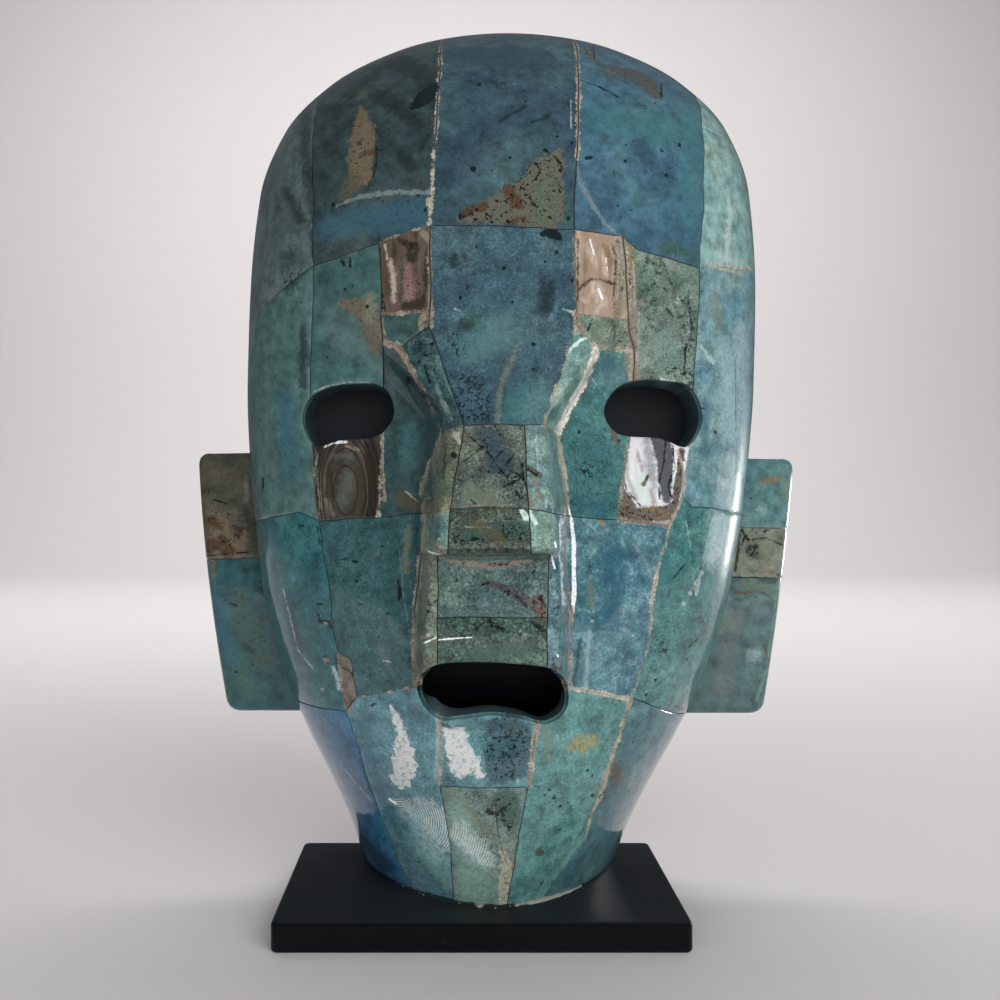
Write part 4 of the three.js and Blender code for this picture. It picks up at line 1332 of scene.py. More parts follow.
straw -7 34.5 0.6, -4.2 32 1.3, -0.7 27.7 1.9, 2.3 23.5 1.7, 4.1 20.2 1.3
ink 1.4 29.9 1.1, 2.2 29.4 0.9
ink 3.9 29.7 0.5, 6 31.7 0.4
dapple 3.9 30.6 5.1, 5.3 26.8 3.9
dapple -0.3 22.5 3.5, 2.3 20.7 2.6
cream 4.5 20.7 1.1, 5.6 16.7 2.6, 5.5 11.2 3.5, 5.6 7.6 3.1
mist -3.7 23.1 3, -0.7 19 3.5
print -5 24.4 4.3, -1.6 21.4 4.8, 1.5 17.7 2.6
frost 1 21.1 0.4, 2.3 19.2 0.5
shade 2.6 32.4 0.21, 4 22.6 0.26, 5.4 17.7 0.22
tan 6.7 20.5 0.4, 7.3 13.1 0.7, 7.8 7.8 0.7
thicket 3.9 31.1 5.1
chin_right
citron 19.5 43 1.9, 21.8 43.5 4.3, 24.1 43.9 3
amber 20 43.2 0.9
clay 12.9 19.3 1.7
ink 13.6 33 0.4
ink 16.1 31.9 0.4
ink 17.3 29.8 0.7
ink 14.5 34 0.4
ink 24.6 31.1 0.9
ink 23.3 37.4 0.5
ink 24.3 35.9 0.4
straw 13.8 47 1.1, 14.2 41.1 1.3
ink 17.3 24 0.3
ink 9.1 19.6 0.3
ink 11.4 35.2 0.3, 12.3 34.9 0.3
ink 13.5 10.9 0.5, 14.1 11.8 0.3
ink 18.9 30.5 0.3
dapple 15.2 32.1 1.7
ink 22.2 21.5 0.4, 23.1 23.1 0.22
chin_right_side
cream 30.9 50.7 0.9, 29.8 43.5 1.5, 28.1 36.6 2, 26.2 29.5 1.6, 24.4 25.8 0.9
tan 29.2 35.4 1.3
ink 30.5 42.4 0.5
ink 31 38 0.4
blue 31.5 27.8 1.8, 28.9 21.9 2.7
olive 29 38.4 1.8, 30.9 33.4 2.7
thicket 29.2 35.1 4.9
ink 34 42.3 0.4
ink 34.1 29.6 0.4
dapple 27.6 30.4 3.1
ear_left_upper
olive -64.9 103.6 3.5, -59.9 101.1 3
straw -57.2 101.6 1, -57 96.2 1
ochre -65.1 92.7 3, -61.7 89.2 8.9, -61.2 84.8 8.9
rust -65.6 91.2 2.5, -59.7 87.8 3, -65.1 85 3
umber -57.5 91.7 2, -58.7 88.7 1.5
clay -64.1 93.2 2, -58.7 90.7 3
ochre -63.2 91.7 2, -60.7 86 2
rust -61.7 83.3 3.5
ink -67.1 82.3 0.3, -56.7 83.3 0.3
ink -65.1 96.2 0.5, -62.2 95.4 0.5
ear_left_lower
ink -59.2 66.5 0.5
ink -55.7 59.1 0.5
ink -62.4 71.5 0.5
green -60.7 59.1 4, -56.2 49.2 3.5
ochre -65.6 81.3 1.2, -65.1 77.6 1
shade -57.5 78.9 1.5
moss -58.7 71.5 4.9, -53.3 56.6 5.9
deep -65.6 73.9 2.5, -60.7 56.6 3.5
ink -61.2 70.7 0.6, -59.7 70 0.5
shade -57.5 60.1 2, -55.7 58.6 1.7
ink -59.7 53.7 0.6
ear_right_upper
amber 70.7 100.6 1.2, 73.7 101.3 1.5
mist 70.2 93.7 2
ink 67.3 96.7 0.5
straw 75.2 103.6 1.5, 76.2 96.2 1.2
jade 77.4 102.6 0.6, 77.1 96.2 0.6, 76.4 90 0.6
ear_right_middle
ink 67.8 86.3 0.3, 68.7 84.6 0.5, 67.5 82.3 0.3
ink 66 87.5 0.3, 65.3 85 0.4
dapple 67.8 83.8 3.5
ink 65.3 88.7 0.6, 66.8 86.3 0.5, 71 86.8 0.3, 75.4 85 0.4
jade 76.2 88.7 0.6, 74.9 78.4 0.6
umber 64.5 88.7 0.6, 64.3 83.8 0.7, 63.6 78.9 1
straw 71.7 85 3.5
thicket 67.8 83.8 4.4
ink 63.6 77.1 0.3, 74.9 76.6 0.3
ear_right_lower
bark 61.8 74.9 0.4, 65.3 72.9 0.6, 68.7 73.9 0.5, 72.4 72.2 0.5
ink 65.8 60.6 0.3, 67.5 59.1 0.3
straw 66 75.4 2.5, 71.7 74.4 2.5
slate 61.8 62.6 3, 66 60.6 2.5
mist 68.5 57.9 3
ink 68.7 72.2 0.4
haze 63.6 66.5 4, 60.3 49.2 4.9
jade 74.4 76.4 0.6, 72.9 65.3 0.6, 71.2 53.7 0.6, 69 46.8 0.7
ink 63.6 69 0.3
ink 60.3 56.6 0.3
rust 70.7 60.3 0.5, 71.7 56.6 0.4
brow_shell_left
pearl -19.5 147.6 0.9, -19 143.7 1.1, -18.9 139.5 0.9
pink -15.8 146.2 2.2, -15.6 140.2 2.6
umber -17.5 152.3 1.1, -14.5 150.5 2.6, -14.9 148.3 2.2
clay -17.5 148.8 0.6, -17.1 145.4 0.9, -17.5 139.4 0.9
ink -15.1 151 0.6
ink -16.7 151.7 0.5
umber -22.1 150.3 0.6, -21.9 142.7 0.8, -21.3 137.8 0.6
ink -21.5 140.8 0.4, -20.8 137.2 0.5
umber -11.7 149.6 0.9, -11.9 142.5 0.9, -12.8 136.8 1.1
ink -14.1 143.6 0.3, -13.2 142.7 0.3
umber -16.3 138.2 1.7, -13.2 138.5 2.2
tan -12.3 153.5 1.7, -11.3 152.2 1.1
pearl -20.8 151.4 0.3, -20.3 148.1 0.26
ink -19.9 142 0.3
ink -15.8 142.4 0.26
rust -15.8 137.3 0.4, -13.2 137 0.4
thicket -16.4 147.5 3.4, -15.8 139.4 3.9
brow_shell_right
amber 26.4 150.9 1.1, 27.9 147.5 1.1
tan 29.3 151.7 1.5, 29.5 143.7 1.7, 29.4 136.1 1.7
pearl 24.9 142.1 2.4, 26 138.8 2.6
pearl 22.9 150.9 1.5, 24 147.4 1.1
pearl 26.4 147.4 1.1, 26.8 144.9 0.9
pearl 22.1 139.3 1.1
glint 23.4 152.2 0.4, 24.2 149.1 0.3
glint 26.8 148.3 0.22, 27.1 145.7 0.17
glint 25.3 141.5 0.5, 26 139.8 0.5
umber 20.3 140.8 0.6, 21.8 142.5 0.6, 23.6 143.6 0.5, 25.7 143.7 0.5, 28.2 142.9 0.5
umber 30.6 151.1 0.3, 30.7 145.8 0.3, 30.4 141.2 0.3
cream 28.6 152.3 0.26, 29.8 148.4 0.3, 29.2 139.5 0.3
umber 20.8 152.1 0.4, 20.6 139.3 0.3
umber 28.2 151.6 0.22, 29 147.5 0.26, 28.4 139.4 0.22
cheek_shell_left
walnut -24.3 108.2 2.7, -23.4 100.7 3.5, -24.4 92.7 3.1
tan -36.8 107 0.5, -36.5 100.3 0.5, -35.5 94.4 0.5
haze -32.6 106 1.1, -28.5 106 1.3
blush -34.4 96.2 0.9, -32.9 93.1 1.1
haze -30.5 96.2 2.7, -29.6 101.6 2.2
glint -34.9 108.1 0.4, -32.6 109.3 0.9, -29.9 109.1 0.5
tan -29.9 108.2 0.7, -27.2 107.4 0.7
umber -33.5 102.9 0.7, -32.8 96.2 0.7
cheek_shell_right
mauve 37.1 109.6 1.8, 37.6 104.7 2.2, 38.4 99.8 1.8
gunmetal 40.2 110 4.5, 41.1 105.1 4.2, 41 100.7 3.3, 41.4 96.5 2
pink 34.8 107.4 0.5, 35.8 102.9 0.7
pink 37.7 98.4 0.7, 38.3 95.6 0.9
mist 37.5 108.2 0.4, 38.1 102.9 0.4
bark 45 107 1.6, 44.5 102 2, 43.5 96.9 2
haze 31.9 107.4 0.7, 32.6 101.1 0.9, 34.3 96.2 0.9
bark 30.5 103.8 0.9, 30.8 98.9 1.8, 32.2 94.9 4
bark 30.6 93.2 3.1, 36.2 92.9 3.1, 41.5 93.4 3.5, 43.7 95.6 1.8
blush 33.2 91.2 0.9, 38.4 91 1.3, 43.4 91.8 1.3
amber 35.6 94.3 0.9, 40.1 94 1.1
bark 37.1 101.6 0.8, 36.2 99.8 1
ink 41.3 109.6 0.2, 40.8 104.7 0.24, 39.6 99.8 0.29, 39.7 96.5 0.22
ink 42.8 108.5 0.3, 43.4 103.4 0.4, 41.7 99.3 0.4, 42.7 95.6 0.3
ink 30.9 103.8 0.27, 32.3 98.4 0.3, 35.1 95.1 0.3
pearl 43.9 107.2 0.4, 45.5 103.4 0.5, 45.8 99.4 0.5, 44.2 94.9 0.4
glint 45.5 104.7 0.22, 46 101.1 0.27
thicket 31.7 93.6 3.1, 40.8 93.1 3.1
amber 38.5 92 0.7, 41.5 93.1 0.9
"""))

# How each stone looks: colours dark, main and light, cloud size in mm, black specks, soot, scratches, grain
# The colours are each stone's own with painted light and shade in them: every stone was made lighter or
# darker by how much light falls on it here, so that it shows as bright as it looked.
STONE = {name: (colours, *looks) for (name, *colours), looks in read_rows("""
forehead_left_side #3b4b4b #4e5e5e #5c6d6b 14 0.2 0.2 0 0.1
forehead_left #273536 #334244 #434e48 12 0.4 0.25 0 0.15
forehead_centre #304553 #395059 #425e61 16 0.8 0 0 0.25
forehead_right #37596b #416373 #496d75 16 0.6 0 0 0.15
forehead_right_side #6a9290 #7a9d99 #8ea9a0 11 0.1 0 0.25 0.1
temple_left #405e5b #4b6966 #547370 14 0.3 0 0 0.05
temple_right #507c8a #668a8f #789594 12 0.2 0 0.3 0.3
brow_left #385756 #3e5d5c #456663 12 0.1 0 0 0.1
brow_centre #334c58 #3b5661 #456066 13 1 0 0 0.6
brow_right #526a5c #687c70 #7a8b7d 8 0.3 0.9 0 0.5
brow_chip_left #2e4a48 #364f4c #3d5a56 8 0.1 0 0 0.2
brow_chip_right #556959 #6a7c6d #7c8b79 6 0.5 0.6 0 0.5
inner_eye_left #2b4143 #304749 #384f4d 11 0.2 0 0 0.2
inner_eye_right #386163 #436f6f #4d7c78 9 0.5 0.3 0 0.5
nose_root_left #274144 #314c4e #415e5c 6 0.5 0.3 0.2 0.5
nose_root_right #517b77 #63867f #829f94 6 0.3 0.2 0.6 0.5
nose_bridge_centre #48514c #5b655d #6e7464 8 0.2 0.2 0 1
nose_bridge_left #515b4b #5e6857 #71725c 7 0.3 0.2 0 0.8
nose_bridge_right #587774 #698582 #7d9890 6 0.1 0.1 0.2 0.7
nose_tip_centre #3d483d #50594e #5f685a 6 0.6 0.5 0 1.3
nose_tip_left #5f7b71 #6b8577 #858f77 6 0.1 0 0 0.8
nose_tip_right #638376 #759187 #85a094 7 0 0 0 0.7
lip_centre_upper #415959 #4b625f #596f67 9 0.1 0.1 0 0.9
lip_centre_lower #395046 #455b52 #52695c 8 0.3 0.6 0 1.2
lip_left #596556 #6b7765 #80866f 7 0.3 0.3 0 0.7
lip_right #47676d #58787f #708d91 7 0.6 0.2 0 0.7
cheek_left #2c4d50 #345558 #3c5f60 14 0.3 0 0 0.55
cheek_chip_left #595249 #686159 #776c62 5 0.3 0 0 0.6
cheek_left_side #28565b #2f5f64 #3b6b6d 13 0.2 0 0 0.4
cheek_right #3c6775 #4b757f #62888f 10 0.2 0 0.5 0.5
cheek_right_side #366865 #457473 #57847f 12 0.2 0.1 0.1 0.5
chin_left_side #265370 #316484 #427898 13 0 0 0 0.35
chin_left #486d78 #567e87 #658c92 14 0.1 0 0.1 0.45
chin_centre_upper #517982 #5d868a #6c9491 9 0.6 0.2 0 0.6
chin_centre_lower #546962 #657a73 #778b7f 8 0.3 0.2 0.2 0.6
chin_right #4b7574 #54807e #618c86 14 0.3 0 0 0.45
chin_right_side #3c6267 #446a70 #51777b 12 0.1 0 0 0.4
ear_left_upper #424538 #49493c #545443 9 0.3 0.2 0 0.1
ear_left_lower #284d4f #2e5457 #376062 12 0.3 0 0 0.05
ear_right_upper #4b7072 #567a7a #638480 9 0.1 0 0 0.15
ear_right_middle #656e5d #787f70 #8a8672 7 0.2 0.5 0 0.2
ear_right_lower #3e5d5c #496665 #546f69 11 0.1 0 0 0.2
""")}


def laid_marks(tree, place, colour, name):
    """Lays a stone's marks over its colour, each ragged and flecked: its own veins, stains and specks, and
    painted highlights, sheen and glare.
    """
    wander = add(tree, "TexNoise", {"Vector": place, "Scale": 0.75, "Detail": 6.0, "Roughness": 0.68})
    wander = add(tree, "Math", {0: wander, 1: 0.5}, operation="SUBTRACT")
    flecks = add(tree, "TexNoise", {"Vector": place, "Scale": 1.15, "Detail": 3.0, "Roughness": 0.55,
                                    "Distortion": 0.9})
    shading = add(tree, "MapRange", {0: flecks, 1: 0.3, 2: 0.55, 3: 0.72, 4: 1.3})
    for tone, *points in MARKS.get(name, ()):
        main, fleck, fleck_share, ragged, edge, strength = TONES[tone]
        if len(points) == 1:
            x, z, width = points[0]
            points.append((x + 0.05, z, width))
        mask = None
        for (x1, z1, width1), (x2, z2, width2) in zip(points, points[1:]):
            narrow = min(width1, width2)
            stray = min(ragged, 0.25 + 0.45 * narrow) * 4.2
            off = add(tree, "Math", {0: wander, 1: stray}, operation="MULTIPLY")
            inputs = {"Place": place, "Start": (x1, 0, z1), "Span": (x2 - x1, 0, z2 - z1),
                      "Start Width": width1, "End Width": width2, "Wander": off,
                      "Edge": min(edge, 0.1 + 0.5 * narrow)}
            stroke = add(tree, "Group", inputs, node_tree=STROKE)
            mask = add(tree, "Math", {0: mask, 1: stroke}, operation="MAXIMUM") if mask else stroke
        tint = linear(main)
        if tone == "dapple":
            spots = add(tree, "MapRange", {0: flecks, 1: 0.53, 2: 0.58}, interpolation_type="SMOOTHSTEP")
            mask = add(tree, "Math", {0: mask, 1: spots}, operation="MULTIPLY")
        elif tone == "thicket":
            # Dendrites: black threads a quarter of a millimetre thick, branching where they crowd
            thread = add(tree, "Math", {0: wander}, operation="ABSOLUTE")
            thread = add(tree, "MapRange", {0: thread, 1: 0.022, 2: 0.01}, interpolation_type="SMOOTHSTEP")
            crowd = add(tree, "MapRange", {0: flecks, 1: 0.44, 2: 0.5})
            thread = add(tree, "Math", {0: thread, 1: crowd}, operation="MULTIPLY")
            mask = add(tree, "Math", {0: mask, 1: thread}, operation="MULTIPLY")
        elif tone in ("film", "print"):
            # A greasy finger mark with a painted glare over it: arched ridges half a millimetre apart,
            # smeared together where the grease lies thick, all painted near white
            arch = add(tree, "VectorMath", {0: place, 1: (-17, 0, 26)}, operation="SUBTRACT")
            ridges = add(tree, "TexWave", {"Vector": arch, "Scale": 0.58, "Distortion": 6.0, "Detail": 2.0,
                                           "Detail Scale": 0.22}, wave_type="RINGS", rings_direction="Y")
            low = 0.8 if tone == "film" else 0.1
            ridges = add(tree, "MapRange", {0: ridges, 1: 0.3, 2: 0.75, 3: low, 4: 1.0})
            smeared = add(tree, "MapRange", {0: flecks, 1: 0.38, 2: 0.5, 3: 0.45, 4: 1.0})
            ridges = add(tree, "Math", {0: ridges, 1: smeared}, operation="MULTIPLY")
            mask = add(tree, "Math", {0: mask, 1: ridges}, operation="MULTIPLY")
        elif fleck_share:
            level = 0.66 - 0.2 * fleck_share
            tint = add(tree, "Mix", {0: 1.0, 6: tint, 7: shading}, 2, data_type="RGBA", blend_type="MULTIPLY")
            tint = lay_over(tree, tint, linear(fleck), flecks, level, level + 0.05, curve="SMOOTHSTEP")
        mask = add(tree, "Math", {0: mask, 1: strength}, operation="MULTIPLY")
        colour = add(tree, "Mix", {0: mask, 6: colour, 7: tint}, 2, data_type="RGBA")
    return colour


def laid_filler(tree, place, colour):
    """Lays the chalky filler of the open seams: white, cream, tan or brown, with a cracked core."""
    fine = add(tree, "TexNoise", {"Vector": place, "Scale": 1.9, "Detail": 6.0, "Roughness": 0.75})
    broad = add(tree, "TexNoise", {"Vector": place, "Scale": 0.36, "Detail": 4.0, "Roughness": 0.65})
    depth = add(tree, "Attribute", {}, "Fac", attribute_name="filler")
    past = add(tree, "Math", {0: FILLER_REACH + 0.3, 1: depth}, operation="SUBTRACT")
    past = add(tree, "Math", {0: fine, 1: -1.7, 2: past}, operation="MULTIPLY_ADD")
    past = add(tree, "Math", {0: broad, 1: 1.9, 2: past}, operation="MULTIPLY_ADD")
    tone = add(tree, "Attribute", {}, "Fac", attribute_name="filler_tone")
    tone = add(tree, "Math", {0: broad, 1: 1.6, 2: tone}, operation="MULTIPLY_ADD")
    tone = add(tree, "Math", {0: fine, 1: -0.5, 2: tone}, operation="MULTIPLY_ADD")
    chalk = linear("#d9d4cb")
    for low, high, hex_colour in ((0.0, 0.4, "#a8a293"), (0.5, 0.95, "#786c5f"), (0.95, 1.35, "#352a23")):
        chalk = lay_over(tree, chalk, linear(hex_colour), tone, low, high)
    chalk = shade(tree, chalk, fine, 0.32, 0.62, 0.55, 1.35)
    colour = lay_over(tree, colour, chalk, past, 0.5, 0.2, curve="SMOOTHSTEP")
    # The crack along the middle opens and closes, up to a quarter of a millimetre wide
    core = add(tree, "Attribute", {}, "Fac", attribute_name="filler_core")
    apart = add(tree, "Math", {0: FILLER_REACH, 1: core}, operation="SUBTRACT")
    apart = add(tree, "Math", {0: fine, 1: -0.35, 2: apart}, operation="MULTIPLY_ADD")
    apart = add(tree, "Math", {0: broad, 1: 0.5, 2: apart}, operation="MULTIPLY_ADD")
    return lay_over(tree, colour, linear("#1f1a17"), apart, 0.26, 0.16, 0.85)


def stone(name, settings):
    """Copper-stained stone, cut and polished, under clear lacquer.

    Its colour drifts in clouds over a mottled grain, with clustered black specks, sooty clumps,
    pale sparks and fine pale scratches. The lacquer over it is glassy and slightly wavy.
    """
    colours, cloud_size, specks, soot, wisps, grain = STONE[name]
    dark, main, light = (linear(hex_colour) for hex_colour in colours)
    material, tree, place = new_material("polished_stone_" + name)
    draw = random.Random(name)
    seed = tuple(draw.uniform(-300, 300) for _ in range(3))
    own = add(tree, "Mapping", {"Vector": place, "Location": seed})
    cloud = add(tree, "TexNoise", {"Vector": own, "Scale": 1 / cloud_size, "Detail": 5.0, "Distortion": 0.7})
    colour = lay_over(tree, dark, main, cloud, 0.3, 0.5, curve="SMOOTHSTEP")
    colour = lay_over(tree, colour, light, cloud, 0.5, 0.7, curve="SMOOTHSTEP")

    # Mottling about 3 mm across down to a grain of a quarter of a millimetre
    mottle = add(tree, "TexNoise", {"Vector": own, "Scale": 0.33, "Detail": 8.0, "Roughness": 0.66})
    colour = shade(tree, colour, mottle, 0.3, 0.7, 0.5, 1.5)
    grit = add(tree, "TexNoise", {"Vector": own, "Scale": 1.9, "Detail": 3.0, "Roughness": 0.65,
                                  "Distortion": 0.5})
    colour = shade(tree, colour, grit, 0.33, 0.46, 1 - 0.7 * min(grain, 1.3), 1.0)
    colour = shade(tree, colour, grit, 0.54, 0.68, 1.0, 1 + 1.3 * grain)
    clump = add(tree, "TexNoise", {"Vector": own, "Scale": 0.11, "Detail": 3.0})

    # Specks up to about a millimetre across, warped out of round and in clusters
    warp = add(tree, "TexNoise", {"Vector": own, "Scale": 1.7, "Detail": 3.0, "Roughness": 0.7}, "Color")
    warped = add(tree, "VectorMath", {0: warp, 1: (1.4, 1.4, 1.4), 2: own}, operation="MULTIPLY_ADD")
    # Spacing in mm, how many places have one, radius as a share of the spacing, colour and strength
    kinds = (
        (1.5, 0.1 + 0.4 * specks, 0.24, "#0f1718", 0.85),
        (3.4, 0.1 + 0.5 * specks, 0.17, "#0c1213", 0.92),
        (2.3, 0.2, 0.11, "#a3b6b3", 0.5),
    )
    for spacing, share, size, hex_colour, strength in kinds:
        near = add(tree, "TexVoronoi", {"Vector": warped, "Scale": 1 / spacing}, "Distance")
        lot = add(tree, "TexVoronoi", {"Vector": warped, "Scale": 1 / spacing}, "Color")
        lot = add(tree, "Math", {0: clump, 1: 1.3, 2: lot}, operation="MULTIPLY_ADD")
        radius = add(tree, "MapRange", {0: lot, 1: 1.65 - share, 2: 1.75, 3: 0.0, 4: size})
        gap = add(tree, "Math", {0: radius, 1: near}, operation="SUBTRACT")
        colour = lay_over(tree, colour, linear(hex_colour), gap, 0.0, 0.05, strength)
    if soot:
        clots = add(tree, "TexNoise", {"Vector": own, "Scale": 0.9, "Detail": 6.0, "Roughness": 0.72,
                                       "Distortion": 0.6})
        clots = add(tree, "Math", {0: clump, 1: 0.5, 2: clots}, operation="MULTIPLY_ADD")
        low, high = 0.9 - 0.1 * soot, 0.96 - 0.1 * soot
        colour = lay_over(tree, colour, linear("#18211f"), clots, low, high, 0.85)
    if wisps:
        # Fine pale scratches and crazing, in patches
        thread = add(tree, "TexVoronoi", {"Vector": warped, "Scale": 0.42}, "Distance",
                     feature="DISTANCE_TO_EDGE")
        thread = add(tree, "MapRange", {0: thread, 1: 0.05, 2: 0.01})
        patchy = add(tree, "MapRange", {0: mottle, 1: 0.47, 2: 0.56})
        thread = add(tree, "Math", {0: thread, 1: patchy}, operation="MULTIPLY")
        thread = add(tree, "Math", {0: thread, 1: wisps}, operation="MULTIPLY")
        colour = add(tree, "Mix", {0: thread, 6: colour, 7: linear("#afc2c0")}, 2, data_type="RGBA")

    colour = laid_marks(tree, place, colour, name)
    colour = laid_filler(tree, place, colour)
    # The sawn walls of the mouth are pale, and those of the eyes turn a deep dark teal behind their front
    # edge
    sawn = add(tree, "Attribute", {}, "Fac", attribute_name="sawn")
    colour = lay_over(tree, colour, linear("#56696c"), sawn, 0.02, 0.12, 0.8)
    colour = lay_over(tree, colour, linear("#25404a"), sawn, -0.02, -0.12, 0.85)
    wave = add(tree, "TexNoise", {"Vector": place, "Scale": 0.13, "Detail": 3.0})
    surface(tree, colour, wave, settings.waviness, Roughness=settings.polish, Specular_IOR_Level=0.12,
            Coat_Weight=1.0, Coat_Roughness=settings.lacquer)
    return material


# How each shell looks: colours dark, main, light and its fire
# The right cheek's shell is near white all over: its own silvery nacre with a painted glare in it.
SHELL = {
    "brow_shell_left": ("#40332a", "#5c4d42", "#72645a", "#6d5656"),
    "brow_shell_right": ("#876d5a", "#a78e7a", "#ddc5b6", "#b79f94"),
    "cheek_shell_left": ("#312822", "#413731", "#5d534a", "#414440"),
    "cheek_shell_right": ("#c4c4cc", "#e8e6ea", "#ffffff", "#cfe2dc"),
}

# Layer lines of the left cheek's shell: radius and half width in inner ovals, colour and strength
OVALS = (
    (1.0, 0.05, "#231b17", 0.85), (1.3, 0.035, "#332a25", 0.35), (1.67, 0.045, "#201915", 0.85),
    (1.9, 0.05, "#77705f", 0.4), (2.08, 0.05, "#1d1613", 0.8), (2.33, 0.06, "#1b1512", 0.75),
    (2.6, 0.09, "#171310", 0.85), (3.0, 0.1, "#151210", 0.85),
)


def abalone(name, settings):
    """Abalone shell ground flat through its growth layers.

    Silky nacre, folded in the light, between thin dark layers, with faint pink and green fire.
    """
    material, tree, place = new_material("abalone_shell_" + name)
    dark, main, light, fire = (linear(hex_colour) for hex_colour in SHELL[name])
    long_way = add(tree, "Mapping", {"Vector": place, "Scale": (1.0, 1.0, 0.16)})
    silk = add(tree, "TexNoise", {"Vector": long_way, "Scale": 0.6, "Detail": 5.0, "Roughness": 0.6})
    colour = lay_over(tree, dark, main, silk, 0.3, 0.5, curve="SMOOTHSTEP")
    colour = lay_over(tree, colour, light, silk, 0.52, 0.72, curve="SMOOTHSTEP")
    drift = add(tree, "TexNoise", {"Vector": place, "Scale": 0.16, "Detail": 3.0})
    colour = lay_over(tree, colour, fire, drift, 0.5, 0.66, 0.6)
    colour = laid_marks(tree, place, colour, name)
    if name == "cheek_shell_left":
        # Growth layers cut into nested ovals: the inner oval is 5 mm wide and 11 mm high
        off = add(tree, "VectorMath", {0: place, 1: (-29.9, 0, 98.3)}, operation="SUBTRACT")
        off = add(tree, "VectorMath", {0: off, 1: (0.39, 0, 0.178)}, operation="MULTIPLY")
        reach = add(tree, "VectorMath", {0: off}, "Value", operation="LENGTH")
        reach = add(tree, "Math", {0: drift, 1: 0.5, 2: reach}, operation="MULTIPLY_ADD")
        reach = add(tree, "Math", {0: reach, 1: 0.25}, operation="SUBTRACT")
        for radius, width, hex_colour, strength in OVALS:
            near = add(tree, "Math", {0: reach, 1: radius}, operation="SUBTRACT")
            near = add(tree, "Math", {0: near}, operation="ABSOLUTE")
            colour = lay_over(tree, colour, linear(hex_colour), near, width, width * 0.4, strength)
    colour = laid_filler(tree, place, colour)
    surface(tree, colour, silk, 0.05, Metallic=0.12, Roughness=0.24, Thin_Film_Thickness=420.0,
            Thin_Film_IOR=1.6, Coat_Weight=1.0, Coat_Roughness=settings.lacquer)
    return material


def satin_slab_material():
    """Wood under satin black lacquer: even and softly shining, with rubbed spots, and lighter on top, painted
    as thin dust and a painted sheen.
    """
    material, tree, place = new_material("satin_black_lacquer")
    rubbed = add(tree, "TexNoise", {"Vector": place, "Scale": 0.7, "Detail": 2.0})
    cloud = add(tree, "TexNoise", {"Vector": place, "Scale": 0.05, "Detail": 4.0, "Roughness": 0.6})
    colour = add(tree, "Mix", {0: cloud, 6: linear("#06080a"), 7: linear("#0c0f11")}, 2, data_type="RGBA")
    colour = lay_over(tree, colour, linear("#3a3d3f"), rubbed, 0.7, 0.8, 0.3)
    # The top face is painted lighter: thin dust together with a painted sheen
    height = add(tree, "SeparateXYZ", {"Vector": place}, "Z")
    colour = lay_over(tree, colour, linear("#26292b"), height, BASE_TOP - 0.3, BASE_TOP, 0.8)
    rough = add(tree, "MapRange", {0: cloud, 1: 0.3, 2: 0.7, 3: 0.32, 4: 0.46})
    wave = add(tree, "TexNoise", {"Vector": place, "Scale": 0.3, "Detail": 3.0})
    surface(tree, colour, wave, 0.01, Roughness=rough, Specular_IOR_Level=0.14)
    return material


def dark_resin_material():
    """Black casting resin: smooth and half glossy, painted near black from the mouth down as painted shade.
    """
    material, tree, place = new_material("cast_dark_resin")
    cloud = add(tree, "TexNoise", {"Vector": place, "Scale": 0.08, "Detail": 3.0})
    colour = add(tree, "Mix", {0: cloud, 6: linear("#26282b"), 7: linear("#33363a")}, 2, data_type="RGBA")
    height = add(tree, "SeparateXYZ", {"Vector": place}, "Z")
    # Painted shade: below 66 mm, where the mouth's pocket lies, the resin is near black, turning to its own
    # grey by 74 mm
    colour = lay_over(tree, linear("#07090d"), colour, height, 66.0, 74.0)
    wave = add(tree, "TexNoise", {"Vector": place, "Scale": 0.2, "Detail": 3.0})
    surface(tree, colour, wave, 0.03, Roughness=0.45, Specular_IOR_Level=0.25)
    return material


def glue_material():
    """Hot glue gone cloudy: dark and glossy to the left, milky and thin to the right."""
    material, tree, place = new_material("cloudy_glue")
    lumps = add(tree, "TexNoise", {"Vector": place, "Scale": 0.45, "Detail": 4.0, "Roughness": 0.6})
    side = add(tree, "SeparateXYZ", {"Vector": place}, "X")
    side = add(tree, "MapRange", {0: side, 1: 4.0, 2: 14.0, 3: 0.0, 4: 0.25})
    lumps = add(tree, "Math", {0: lumps, 1: side}, operation="ADD")
    colour = lay_over(tree, linear("#14181a"), linear("#8f958c"), lumps, 0.56, 0.66, 0.9)
    wave = add(tree, "TexNoise", {"Vector": place, "Scale": 0.9, "Detail": 3.0})
    surface(tree, colour, wave, 0.08, Roughness=0.25, Coat_Weight=0.8, Coat_Roughness=0.1)
    return material


# Pieces

